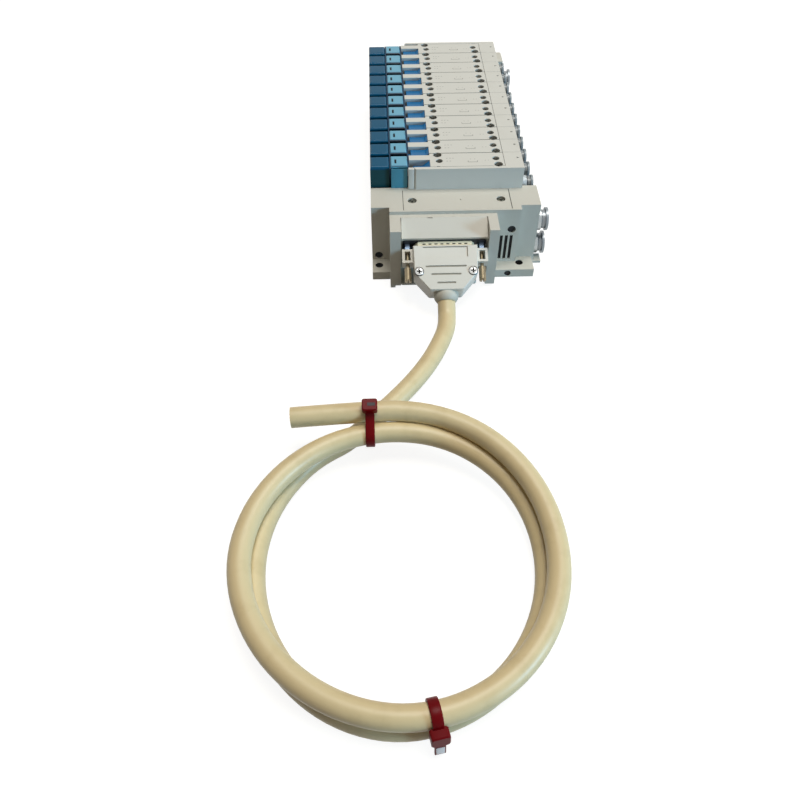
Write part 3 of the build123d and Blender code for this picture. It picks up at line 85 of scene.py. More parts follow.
def make_material(name, colour, roughness, metallic=0.0, ior=1.5, bands=(), smudge=None, grain=None):
    """A Principled finish. Each of bands = (axis, low, high, period, colour) paints what lies between two
    planes, in mm, again at every period if there is one. smudge = (size in mm, strength, colour) lays soft
    spots under them. grain = (size, height in mm) roughens it."""
    material = bpy.data.materials.new(name)
    material.use_nodes = True
    tree = material.node_tree
    shader = tree.nodes["Principled BSDF"]
    shader.inputs["Roughness"].default_value = roughness
    shader.inputs["Metallic"].default_value = metallic
    if not metallic:
        shader.inputs["IOR"].default_value = ior
    shader.inputs["Base Color"].default_value = (*colour, 1.0)
    if not (bands or smudge or grain):
        return material
    place = add_node(tree, "ShaderNodeTexCoord").outputs["Object"]
    paint = None

    def lay(share, tint):
        """Lay a tint over the paint by its share."""
        settings = {"data_type": "RGBA", 6: (*colour, 1.0), 7: (*tint, 1.0)}
        mix = add_node(tree, "ShaderNodeMix", settings, {0: share})
        if paint:
            tree.links.new(paint, mix.inputs[6])
        return mix.outputs[2]

    if smudge:
        size, strength, tint = smudge
        noise = {"Scale": 1 / (size * MM), "Detail": 3.0}
        spots = add_node(tree, "ShaderNodeTexNoise", noise, {"Vector": place})
        levels = {"From Min": 0.48, "From Max": 0.78, "To Min": 0.0, "To Max": strength}
        share = add_node(tree, "ShaderNodeMapRange", levels, {0: spots.outputs[0]})
        paint = lay(share.outputs[0], tint)
    if bands:
        split = add_node(tree, "ShaderNodeSeparateXYZ", links={0: place})
    for axis, low, high, period, tint in bands:
        shift = {"operation": "SUBTRACT", 1: low * MM}
        start = add_node(tree, "ShaderNodeMath", shift, {0: split.outputs[axis]})
        if period:
            again = {"operation": "FLOORED_MODULO", 1: period * MM}
            start = add_node(tree, "ShaderNodeMath", again, {0: start.outputs[0]})
        half = (high - low) / 2 * MM
        within = {"operation": "COMPARE", 1: half, 2: half}
        inside = add_node(tree, "ShaderNodeMath", within, {0: start.outputs[0]})
        paint = lay(inside.outputs[0], tint)
    if paint:
        tree.links.new(paint, shader.inputs["Base Color"])
    if grain:
        size, height = grain
        noise = {"Scale": 1 / (size * MM), "Detail": 2.0}
        rough = add_node(tree, "ShaderNodeTexNoise", noise, {"Vector": place})
        bump = add_node(tree, "ShaderNodeBump", {"Strength": 1.0, "Distance": height * MM},
                        {"Height": rough.outputs[0]})
        tree.links.new(bump.outputs[0], shader.inputs["Normal"])
    return material


def paint_nodes(names, material):
    """Give CAD nodes one material."""
    for name in names:
        node = NODES[name]
        if not node.material_slots:
            node.data.materials.append(material)
        for held in node.material_slots:
            held.material = material


# ------------------------------------------------------------------ surfaces
def loft(rings):
    """Points and faces over copies of a stack of rings: an array of copies, rings, points round, and x y z.
    Each ring's points join the next ring's by quads, and one face each closes the first and last rings."""
    rings = np.asarray(rings, float)
    if rings.ndim == 3:
        rings = rings[None]
    copies, count, around, _ = rings.shape
    index = np.arange(count * around).reshape(count, around)
    turned = np.roll(index, -1, axis=1)
    quads = np.stack((index[:-1], turned[:-1], turned[1:], index[1:]), axis=-1).reshape(-1, 4)
    starts = np.arange(copies) * count * around
    faces = (quads[None] + starts[:, None, None]).reshape(-1, 4).tolist()
    faces += (index[0][::-1][None] + starts[:, None]).tolist()
    faces += (index[-1][None] + starts[:, None]).tolist()
    return rings.reshape(-1, 3), faces


def belt(rings):
    """As loft, for one closed belt: the last ring joins the first again."""
    rings = np.asarray(rings, float)
    count, around, _ = rings.shape
    index = np.arange(count * around).reshape(count, around)
    turned, after = np.roll(index, -1, axis=1), np.roll(index, -1, axis=0)
    quads = np.stack((index, turned, np.roll(turned, -1, axis=0), after), axis=-1).reshape(-1, 4)
    return rings.reshape(-1, 3), quads.tolist()


def make_piece(name, surfaces, material, crease=35.0, body="island"):
    """One object of several surfaces in millimetres: joined, doubles merged, normals turned out, and set to
    ride on its body. Edges sharper than crease stay sharp."""
    points, faces, start = [], [], 0
    for more_points, more_faces in surfaces:
        points.append(np.asarray(more_points) * MM)
        faces += [[i + start for i in face] for face in more_faces]
        start += len(more_points)
    mesh = bpy.data.meshes.new(name)
    mesh.from_pydata(np.concatenate(points).tolist(), [], faces)
    work = bmesh.new()
    work.from_mesh(mesh)
    bmesh.ops.remove_doubles(work, verts=work.verts, dist=1e-6)
    bmesh.ops.recalc_face_normals(work, faces=work.faces)
    work.to_mesh(mesh)
    work.free()
    mesh.polygons.foreach_set("use_smooth", np.ones(len(mesh.polygons), bool))
    mesh.set_sharp_from_angle(angle=math.radians(crease))
    mesh.materials.append(material)
    piece = bpy.data.objects.new(name, mesh)
    bpy.context.scene.collection.objects.link(piece)
    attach(piece, body)
    return piece


def rounded_outline(width, height, corner, steps=4):
    """Outline of a rectangle with round corners, as points in its own plane: four quarter circles in turn."""
    turn = np.linspace(0, math.pi / 2, steps)
    quarter = np.stack((np.cos(turn), np.sin(turn)), axis=-1) * corner
    parts = []
    for k, (sx, sy) in enumerate(((1, 1), (-1, 1), (-1, -1), (1, -1))):
        c, s = round(math.cos(k * math.pi / 2)), round(math.sin(k * math.pi / 2))
        turned = quarter @ np.array([[c, s], [-s, c]])
        parts.append(turned + [sx * (width / 2 - corner), sy * (height / 2 - corner)])
    return np.concatenate(parts)


def bar(centre, axes, size, corner, edge=0.3):
    """A straight bar with round corners and broken end edges: its outline lies in the first two axes, and
    four rings carry it along the third, the outer two drawn in by the edge."""
    a, b, c = (np.asarray(v, float) for v in axes)
    outline = rounded_outline(size[0], size[1], corner)
    shrink = 1 - 2 * edge / np.array([size[0], size[1]])
    inset = 2 * edge / size[2]
    rings = []
    for place, scale in ((-1, shrink), (-1 + inset, 1), (1 - inset, 1), (1, shrink)):
        flat = outline * scale
        rings.append(np.asarray(centre) + flat[:, :1] * a + flat[:, 1:] * b + place * size[2] / 2 * c)
    return loft(rings)


def slab(low, high, corner, edge):
    """An upright bar between two opposite corners."""
    low, high = np.array(low), np.array(high)
    return bar((low + high) / 2, UPRIGHT, high - low, corner, edge)


def screw_rings(head_radius, head_height, shank_radius, length, arm, arm_width, depth, dome=0.15):
    """A cross-recessed screw with its top at z = 0: rings about z whose radius depends on the angle only in
    the recess. Along an arm the recess reaches arm, and beside it arm_width over the sine of the angle."""
    corner = math.atan2(arm_width, arm)
    fixed = [k * math.pi / 2 + d for k in range(4) for d in (-corner, corner, math.pi / 4)]
    turn = np.unique(np.round(np.concatenate((fixed, np.arange(24) * math.pi / 12)) % (2 * math.pi), 6))
    folded = np.abs((turn + math.pi / 4) % (math.pi / 2) - math.pi / 4)
    cross = np.minimum(arm / np.cos(folded), arm_width / np.maximum(np.sin(folded), 1e-6))
    one = np.ones_like(turn)
    stack = (
        (shank_radius * 0.55 * one, -length),
        (shank_radius * one, -length + shank_radius),
        (shank_radius * one, -head_height),
        (head_radius * one, -head_height),
        (head_radius * one, -0.22 - dome),
        ((head_radius - 0.22) * one, -dome),
        ((head_radius * 0.62) * one, -dome * 0.35),
        (np.maximum(cross, 0.02), 0.0),
        (cross * 0.78, -depth),
    )
    return np.array([np.column_stack((r * np.cos(turn), r * np.sin(turn), z * one)) for r, z in stack])


def circles(*stack):
    """Circles about z, one for each pair of radius and height."""
    level = np.ones_like(AROUND)
    return np.array([np.column_stack((radius * np.cos(AROUND), radius * np.sin(AROUND), z * level))
                     for radius, z in stack])


def repeat(rings, places):
    """A stack of rings, once at each place."""
    return loft(rings[None] + np.asarray(places)[:, None, None])


def strips(lines, width, base, top):
    """Thin printed lines on a flat top: each straight line is a box of that width from base to top."""
    lines = np.asarray(lines, float).reshape(-1, 4)
    start, end = lines[:, :2], lines[:, 2:]
    along = end - start
    along /= np.linalg.norm(along, axis=1, keepdims=True)
    across = np.stack((-along[:, 1], along[:, 0]), axis=-1) * width / 2
    corners = np.stack((start - across, end - across, end + across, start + across), axis=1)
    low = np.concatenate((corners, np.full(corners.shape[:2] + (1,), base)), axis=-1)
    high = np.concatenate((corners, np.full(corners.shape[:2] + (1,), top)), axis=-1)
    return loft(np.stack((low, high), axis=1))


def box_mm(node):
    """Corners of a CAD node's box, in millimetres."""
    low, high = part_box(node)
    return np.array(low) / MM, np.array(high) / MM


# ------------------------------------------------------------------ places and sizes, in millimetres
BLOCK_LOW, BLOCK_HIGH = box_mm("connector_block")
BODY_LOW, BODY_HIGH = box_mm(STATIONS[0])
COVER_LOW, COVER_HIGH = box_mm("coil_covers")
LID_LOW, LID_HIGH = box_mm("connector_cover")
CAP_HIGH = box_mm("pilot_caps")[1]
Y_FACE = box_mm("side_plate_near")[0][1]
X_LEFT, BLOCK_TOP, TOP_Z = BLOCK_LOW[0], BLOCK_HIGH[2], BODY_HIGH[2]
FAR = 500.0                             # beyond every piece

# the row: where its pockets, bodies and port heads start and end
PITCH = 16.0                            # one station along Y
SEAM = 0.2                              # between neighbouring valve bodies
POCKET_GAP, POCKET_LENGTH = 1.2, 13.4   # override pockets: from the coil covers, and along X
CHANNEL_DEPTH = 6.5                     # from the top to the floor under the override sliders
HEAD_LENGTH, HEAD_REACH = 11.9, 3.1     # port heads along X, and beyond the connector block
X_POCKET = COVER_HIGH[0] + POCKET_GAP
X_POCKET_END = X_POCKET + POCKET_LENGTH
X_BODY_END = BODY_HIGH[0] + SEAM
X_HEAD_END = X_BODY_END + HEAD_LENGTH
X_MAIN = X_HEAD_END - HEAD_REACH
Y_ROW = BODY_LOW[1] - SEAM / 2
CHANNEL_Z = TOP_Z - CHANNEL_DEPTH
STATION_STARTS = np.array([box_mm(name)[0][1] - SEAM / 2 for name in STATIONS])

# the connector block: depths forward of the row, and its holes and slots
MAIN_DEPTH, CORNER_DEPTH, FOOT_DEPTH, CHEEK_DEPTH = 24.0, 19.3, 33.0, 42.0
CHEEK_Z, CHEEK_FOOT_Z = 44.6, 2.0
FOOT_HEIGHT = 6.0
FOOT_HOLES, FOOT_HOLE_DEPTH, FOOT_HOLE_RADIUS = (4.5, 2.5), 25.5, 2.6    # X from X_LEFT, and from X_MAIN
SLOTS, SLOT_PITCH, SLOT_SIZE = 3, 3.2, (2.0, 19.0)
SLOT_FIRST, SLOT_Z = -11.1, 17.6        # X from X_MAIN
LID_SCREWS = ((6.1, 12.2), (6.3, 12.0))     # from the lid's left end and right end, forward of the row
BAY_LEFT, BAY_RIGHT, BAY_FLOOR = 27.6, 22.0, 1.8    # bay's floor, from the plug's axis, and its thickness
LINING = 0.4                            # thickness of the dark linings in blind holes

# the plug: its axis leaves the socket's face, turned down by TILT
TILT = math.radians(30)
PLUG_INSET = 46.0                       # axis from the left edge
ROOF_START, ROOF_RUN, ROOF_OFFSET = 27.4, 14.0, 8.85    # roof: upper edge, run along its slope, over the axis
HOOD_END, CORD_GRIP = 33.6, 4.0         # hood's end along the axis, and the cable inside it
HOOD_SCREW = (16.8, 9.0, 21.5)          # across, up and along the axis
GROOVES = ((18.2, 25.6), (23.3, 18.8), (28.9, 11.8))    # place along the axis, and length
DIMPLES, DIMPLE_PITCH = 8, 3.75
PLUG_X = X_LEFT + PLUG_INSET
PLUG_OUT = np.array([0, -math.cos(TILT), -math.sin(TILT)])
PLUG_UP = np.array([0, -math.sin(TILT), math.cos(TILT)])
PLUG_ORIGIN = np.array([PLUG_X, Y_FACE - ROOF_START, CHEEK_Z]) + ROOF_RUN * PLUG_OUT - ROOF_OFFSET * PLUG_UP
PLUG_AXES = ((1, 0, 0), PLUG_OUT, PLUG_UP)

# the cable's turns and its ties
COIL = np.array([-46.8, -323.0])        # centre of the turns
FREE_END = np.array([-60.0, -245.3, 23.8])      # where the upper tie holds the free end
TIE_HEAD = (8.0, 6.6, 5.0)              # along the turns, across them, height
TIE_HEAD_LIFT = 2.9                     # its middle over the cable's surface
UP = np.array([0, 0, 1.0])


def on_plug(points):
    """Points across, up and along the plug, in the frame's axes."""
    points = np.asarray(points, float)
    return PLUG_ORIGIN + points[..., :1] * [1, 0, 0] + points[..., 1:2] * PLUG_UP + points[..., 2:] * PLUG_OUT


def station_places(x, y, z):
    """The same place on every station: x and z, and y from its near face."""
    count = len(STATIONS)
    return np.column_stack((np.full(count, x), STATION_STARTS + y, np.full(count, z)))


# ------------------------------------------------------------------ settings
class IslandSizes(PropertyGroup):
    """Sizes of the pieces that the scene adds."""
    cable: FloatProperty(name="Cable diameter", description="Outside diameter of the jacket",
                         default=0.0111, min=0.004, max=0.02, unit="LENGTH")
    tie_width: FloatProperty(name="Tie width", description="Width of the cable ties",
                             default=0.0048, min=0.002, max=0.01, unit="LENGTH")
    tie_thickness: FloatProperty(name="Tie thickness", description="Thickness of the cable ties",
                                 default=0.0012, min=0.0005, max=0.003, unit="LENGTH")
    recess: FloatProperty(name="Recess depth", description="Depth of the crosses in the screws",
                          default=0.0011, min=0.0002, max=0.0015, unit="LENGTH")
    print_line: FloatProperty(name="Print line", description="Width of the lines of the valve symbols",
                              default=0.0004, min=0.0001, max=0.001, unit="LENGTH")


def colour(label, text, code):
    """A colour property with an sRGB hex default."""
    return FloatVectorProperty(name=label, description=text, default=linear(code), size=3, min=0, max=1,
                               subtype="COLOR")


class IslandColours(PropertyGroup):
    """Colours of the moulded parts, the cable and the ties."""
    body: colour("Valve bodies", "Moulded valve bodies and side plates", "#D3D1C7")
    block: colour("End blocks", "Moulded connector, supply and end blocks", "#CBC7BA")
    hood: colour("Plug hood", "Moulded hood of the plug", "#CECABD")
    cap: colour("Pilot caps", "Dark glossy caps of the pilot valves", "#00506F")
    cover: colour("Coil covers", "Light tops of the coil covers", "#64A6BE")
    cover_side: colour("Coil cover sides", "Flanks of the coil covers", "#1A6F90")
    slider: colour("Overrides", "Slide buttons of the manual overrides", "#12699F")
    jacket: colour("Cable jacket", "Jacket of the cable", "#D9C597")
    tie: colour("Cable ties", "Nylon of the cable ties", "#680006")


# ------------------------------------------------------------------ operators
def dark_openings():
    """Line the ends of the connector block's holes and slots: thin discs and bars, dark as their depth."""
    # shadow in a deep moulded hole, given a surface
    dark = make_material("pbt_shadow_in_holes", linear("#0C0D0E"), 0.9)
    y_main, y_corner, y_foot = Y_FACE - MAIN_DEPTH, Y_FACE - CORNER_DEPTH, Y_FACE - FOOT_DEPTH
    surfaces = []
    for x, y, z, radius in ((X_LEFT + 4.4, y_corner + 1.2, 9.4, 2.7), (X_MAIN - 5.1, y_main + 1.2, 31.7, 2.7),
                            (X_MAIN - 5.9, y_foot + 0.9, 3.0, 2.2)):
        surfaces.append(bar((x, y, z), FACING, (radius * 2, radius * 2, LINING), radius, 0.05))
    for i in range(SLOTS):
        place = (X_MAIN + SLOT_FIRST + SLOT_PITCH * i, y_main + 1.0, SLOT_Z)
        surfaces.append(bar(place, FACING, (*SLOT_SIZE, LINING), 0.3, 0.05))
    make_piece("opening_shadows", surfaces, dark)
    # the through holes of the feet stay open: thin dark tubes line them
    outer, inner, top = FOOT_HOLE_RADIUS - 0.02, FOOT_HOLE_RADIUS - 0.2, FOOT_HEIGHT - 0.3
    tube = circles((outer, 0.4), (outer, top), (inner, top), (inner, 0.4))
    tubes = [belt(tube + [x, Y_FACE - FOOT_HOLE_DEPTH, 0])
             for x in (X_LEFT + FOOT_HOLES[0], X_MAIN + FOOT_HOLES[1])]
    make_piece("foot_hole_shadows", tubes, dark)


class ISLAND_OT_housings(Operator):
    """Finish the moulded blocks, valve bodies, plates and cover."""
    bl_idname = "island.housings"
    bl_label = "Housings"

    def execute(self, context):
        tones = context.scene.island_colours
        # PBT, glass filled, moulded in a spark-eroded tool: an even, faintly rough, chalky cream
        body = make_material("pbt_cream_eroded", tones.body, 0.55, smudge=(14, 0.16, linear("#B9B6A8")),
                             grain=(0.5, 0.02))
        paint_nodes(["manifold_base", "side_plate_near", "side_plate_far"], body)
        # the same PBT, grey at the joints, and navy up to the override pocket: painted shade where the body
        # shows in the deep gaps between the caps and the covers
        seam = linear("#65655B")
        bands = (("Y", Y_ROW - 0.32, Y_ROW + 0.32, PITCH, seam),
                 ("X", X_BODY_END - 0.3, X_BODY_END + 0.1, 0, seam),
                 ("X", -FAR, COVER_HIGH[0] + 0.3, 0, linear("#0B2440")))
        valve = make_material("pbt_cream_navy_shade_under_pilots", tones.body, 0.55, bands=bands,
                              grain=(0.5, 0.02))
        paint_nodes(STATIONS, valve)
        # PBT of the end blocks, a little warmer and duller than the valve bodies
        block = make_material("pbt_warm_cream_eroded", tones.block, 0.6, smudge=(18, 0.22, linear("#B8B29B")),
                              grain=(0.6, 0.02))
        paint_nodes(["connector_block", "socket_roof", "supply_block", "end_block"], block)
        # the lid, dark at its two ends where the joints show
        bands = (("X", LID_LOW[0] - 0.1, LID_LOW[0] + 0.4, 0, linear("#55524A")),
                 ("X", LID_HIGH[0] - 0.5, LID_HIGH[0] + 0.1, 0, linear("#45433D")))
        lid = make_material("pbt_warm_cream_dark_joints", tones.block, 0.6, bands=bands, grain=(0.6, 0.02))
        paint_nodes(["connector_cover"], lid)
        # nitrile rubber sheet, die cut: matt black
        paint_nodes(["gaskets"], make_material("nbr_sheet_black", linear("#15171A"), 0.8))
        # bright zinc on steel rods, drawn
        rod = make_material("zinc_plated_steel_drawn", linear("#B5BAC0"), 0.3, metallic=1.0)
        paint_nodes(["tie_rods"], rod)
        # the override channel of the first station is closed at its near side
        stop = slab((COVER_HIGH[0] + 0.4, Y_FACE + 0.25, BLOCK_TOP + 0.1),
                    (X_POCKET + 2.9, Y_ROW - 0.15, TOP_Z), 0.3, 0.2)
        make_piece("override_channel_stop", [stop], body)
        # floor of the plug's bay, between the feet of its cheeks
        bay = slab((PLUG_X - BAY_LEFT, Y_FACE - CHEEK_DEPTH + 0.05, CHEEK_FOOT_Z),
                   (PLUG_X + BAY_RIGHT, Y_FACE - MAIN_DEPTH - 0.05, CHEEK_FOOT_Z + BAY_FLOOR), 1.5, 0.2)
        make_piece("plug_bay_floor", [bay], block)
        dark_openings()
        return {"FINISHED"}


class ISLAND_OT_pilots(Operator):
    """Finish the pilot caps, coil covers and override sliders, and set the covers' windows in."""
    bl_idname = "island.pilots"
    bl_label = "Pilot Valves"

    def execute(self, context):
        tones = context.scene.island_colours
        # polyamide, polished tool: deep blue with sharp glints on its round edges
        # below 2.2 mm under their tops the caps are painted a dull teal: painted shade on their flanks
        bands = (("Z", -FAR, CAP_HIGH[2] - 2.2, 0, linear("#1B4A50")),)
        cap = make_material("polyamide_dark_blue_shaded_flanks", tones.cap, 0.2, ior=1.22, bands=bands,
                            grain=(4.0, 0.03))
        paint_nodes(["pilot_caps"], cap)
        # polycarbonate covers: pale satin tops, and flanks that look deeper because light enters them. Along
        # each top's near edge a strip of the flanks' deeper blue and then a near-black one, and all lower
        # than 1.2 mm under the tops near black: painted shade of the gaps between the covers. The row's two
        # end faces keep a lighter blue.
        near, end_blue = COVER_LOW[1], linear("#3C8FA8")
        bands = (("Y", near - 0.4, near + 1.5, PITCH, tones.cover_side),
                 ("Y", near - 0.4, near + 0.5, PITCH, linear("#06202F")),
                 ("Z", -FAR, COVER_HIGH[2] - 1.2, 0, linear("#04141F")),
                 ("Y", near - 0.5, near + 0.3, 0, end_blue),
                 ("Y", COVER_HIGH[1] - 0.3, COVER_HIGH[1] + 0.5, 0, end_blue))
        cover = make_material("polycarbonate_light_blue", tones.cover, 0.35, bands=bands)
        paint_nodes(["coil_covers"], cover)
        # acetal, moulded: smooth, waxy, mid blue
        slider = make_material("acetal_blue_moulded", tones.slider, 0.4)
        paint_nodes(SLIDERS, slider)
        # tinted polycarbonate windows: black until the lamp under them is lit
        window = make_material("polycarbonate_smoked", linear("#03080C"), 0.5, ior=1.2)
        outline = rounded_outline(1.26, 4.56, 0.3)
        rings = np.array([np.column_stack((outline * s, np.full(len(outline), z)))
                          for z, s in ((-0.6, 1.0), (-0.04, 1.0), (-0.01, 0.94))])
        panes = repeat(rings, station_places(COVER_LOW[0] + 3.0, PITCH / 2, COVER_HIGH[2]))
        make_piece("cover_windows", [panes], window)
        # a pad on each slider's plate up to its ramp, and the channel's blue floor, which shows beside it
        floors = []
        for name in SLIDERS[1:]:
            low, high = box_mm(name)
            pad = slab((X_POCKET + 1.5, low[1] + 0.02, CHANNEL_Z + 2.2),
                       (X_POCKET_END - 2.2, high[1] - 0.02, CHANNEL_Z + 4.4), 0.2, 0.15)
            make_piece(name.replace("slider", "pad"), [pad], slider, body=name)
            floors.append(slab((X_POCKET + 0.15, low[1], CHANNEL_Z + 0.01),
                               (X_POCKET_END - 0.15, high[1], CHANNEL_Z + 0.13), 0.1, 0.02))
        make_piece("override_channel_floors", floors, slider)
        # dark navy strips fill the gaps beside the covers as painted shade, and a plate closes the first
        # cover's near side
        strip = make_material("painted_shade_navy_gap_strips", linear("#0B2E48"), 0.5, ior=1.3)
        y0, y1 = Y_ROW + 0.4, Y_ROW + len(STATIONS) * PITCH - 0.4
        gap_shade_bars = [
            slab((CAP_HIGH[0] + 0.05, y0, CAP_HIGH[2] - 5.0),
                 (COVER_LOW[0] - 0.05, y1, CAP_HIGH[2] - 0.8), 0.2, 0.05),
            slab((COVER_HIGH[0] + 0.05, y0, CHANNEL_Z + 4.6),
                 (X_POCKET - 0.05, y1, CHANNEL_Z + 5.4), 0.2, 0.05),
        ]
        make_piece("pilot_gap_shade_strips", gap_shade_bars, strip)
        plate = make_material("polycarbonate_light_blue_end", end_blue, 0.35)
        end = slab((COVER_LOW[0] + 0.1, Y_ROW - 0.45, BLOCK_TOP + 0.1),
                   (COVER_HIGH[0] - 0.1, Y_ROW - 0.15, COVER_HIGH[2] - 0.5), 0.1, 0.03)
        make_piece("coil_cover_end_plate", [end], plate)
        return {"FINISHED"}


class ISLAND_OT_fittings(Operator):
    """Finish the push-in fittings and their release collars."""
    bl_idname = "island.fittings"
    bl_label = "Fittings"

    def execute(self, context):
        # brass, turned and nickel plated, then a thin ring painted dark as painted shade in the groove, and
        # beyond it the pale grey collar that lets the tube go
        groove = X_HEAD_END + 4.2
        bands = (("X", groove, groove + 0.8, 0, linear("#23282B")),
                 ("X", groove + 0.8, FAR, 0, linear("#858A8B")))
        port = make_material("nickel_sleeve_groove_shade_grey_collar", linear("#B9BDBD"), 0.3, bands=bands)
        paint_nodes(["port_fittings"], port)
        # brass, turned and nickel plated: bright, slightly warm mirror with soft turning marks
        sleeve = make_material("nickel_plated_brass_turned", linear("#A6ACAD"), 0.3, metallic=1.0,
                               grain=(0.6, 0.01))
        paint_nodes(["supply_fittings"], sleeve)
        # release collars, grey with a metal sheen, satin from handling
        collar = make_material("satin_grey_release_collar", linear("#8E9396"), 0.35, metallic=0.6)
        paint_nodes(["supply_collar", "exhaust_collar", "far_supply_collar", "far_exhaust_collar"], collar)
        return {"FINISHED"}


class ISLAND_OT_screws(Operator):
    """Make the cross-recessed screws of the valves, the cover and the hood."""
    bl_idname = "island.screws"
    bl_label = "Screws"

    def execute(self, context):
        depth = context.scene.island_sizes.recess / MM
        # steel, black zinc plated: dark, with glints on the edges of the cross
        black = make_material("black_zinc_plated_steel", linear("#8B897C"), 0.3, metallic=1.0)
        # steel, bright zinc plated, pressed cross: almost white with a dark cross
        bright = make_material("bright_zinc_plated_steel", linear("#D2D2CE"), 0.3, metallic=1.0)
        # shadow round and under the heads, given a surface
        well = make_material("screw_well_shadow", linear("#0A0A09"), 0.9)
        wells = []
        # a valve's screws: seat radius, head height, shank radius, length, and X and Y in the station
        for node, radius, head, shank, length, offsets in (
            ("low_screws", 2.2, 2.0, 1.752, 4.0, ((X_POCKET_END + 6.0, 6.8), (X_BODY_END - 5.3, 8.9))),
            ("tie_screws", 2.7, 1.8, 1.2, 32.0, ((X_POCKET_END + 5.2, 14.0), (X_BODY_END - 4.3, 2.0))),
        ):
            rings = screw_rings(radius * 0.84, head, shank, length, radius * 0.64, radius * 0.2, depth)
            places = np.concatenate([station_places(x, y, TOP_Z - 1.0) for x, y in offsets])
            piece = make_piece(node + "_crossed", [repeat(rings, places)], black)
            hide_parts(node)
            wells.append(repeat(circles((radius - 0.03, -0.5), (radius - 0.03, -0.25)), places))
        # the lid's screws
        rings = screw_rings(2.3, 0.8, 1.3, 8.8, 1.7, 0.5, depth * 0.6)
        top = box_mm("connector_cover_screws")[1][2]
        (left, left_depth), (right, right_depth) = LID_SCREWS
        places = ((LID_LOW[0] + left, Y_FACE - left_depth, top),
                  (LID_HIGH[0] - right, Y_FACE - right_depth, top))
        piece = make_piece("connector_cover_screws_crossed", [repeat(rings, places)], black)
        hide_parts("connector_cover_screws")
        wells.append(repeat(circles((2.66, -0.75), (2.66, -0.5)), places))
        # the hood's screws stand on its sloping upper side, which swaps their second and third axes
        across, up, along = HOOD_SCREW
        heads = np.array(((-across, up, along), (across, up, along)))[:, None, None]
        rings = screw_rings(2.55, 1.0, 1.3, 14.0, 1.75, 0.5, depth * 0.75, dome=0.3)
        screws = loft(on_plug(rings[..., [0, 2, 1]] + heads))
        piece = make_piece("hood_screws_crossed", [screws], bright)
        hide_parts("hood_screws")
        rings = circles((2.95, -1.0), (2.95, -0.75))
        wells.append(loft(on_plug(rings[..., [0, 2, 1]] + heads)))
        make_piece("screw_wells", wells, well)
        return {"FINISHED"}


class ISLAND_OT_symbols(Operator):
    """Print plain valve symbols on the bodies and a mark on each port head."""
    bl_idname = "island.symbols"
    bl_label = "Valve Symbols"

    def execute(self, context):
        width = context.scene.island_sizes.print_line / MM
        # pad printing ink, grey, half worn: thin faint lines
        ink = make_material("pad_print_grey", linear("#8F8F85"), 0.6)
        # dashes beside the left screw, an open bracket under two dots, and loose dots
        shape = [
            (4.6, 9.8, 5.6, 9.8), (6.6, 9.8, 7.6, 9.8), (8.6, 9.8, 9.6, 9.8), (4.6, 6.4, 5.6, 6.4),
            (6.6, 6.4, 7.6, 6.4), (18.6, 5.0, 24.6, 5.0), (18.6, 5.0, 18.6, 6.6), (24.6, 5.0, 24.6, 6.6),
            (20.0, 8.4, 20.6, 8.4), (22.8, 8.4, 23.4, 8.4), (29.4, 6.8, 30.0, 6.8), (31.4, 6.8, 32.0, 6.8),
        ]
        shape = np.array(shape) + [X_POCKET_END + 6.0, 0, X_POCKET_END + 6.0, 0]
        moves = np.column_stack((np.zeros(len(STATIONS)), STATION_STARTS))[:, [0, 1, 0, 1]]
        lines = (shape[None] + moves[:, None]).reshape(-1, 4)
        low, high = TOP_Z - 0.05, TOP_Z + 0.03
        make_piece("valve_symbols", [strips(lines, width, low, high)], ink)
        # the same ink, laid thick: small dark wedges
        dark = make_material("pad_print_dark", linear("#55564E"), 0.6)
        wedge = np.array([(-3.6, 8.6), (-1.8, 9.4), (-3.6, 10.2)])
        rings = np.array([np.column_stack((wedge + [X_HEAD_END, 0], np.full(3, z))) for z in (low, high)])
        make_piece("port_wedges", [repeat(rings, station_places(0, 0, 0))], dark)
        return {"FINISHED"}


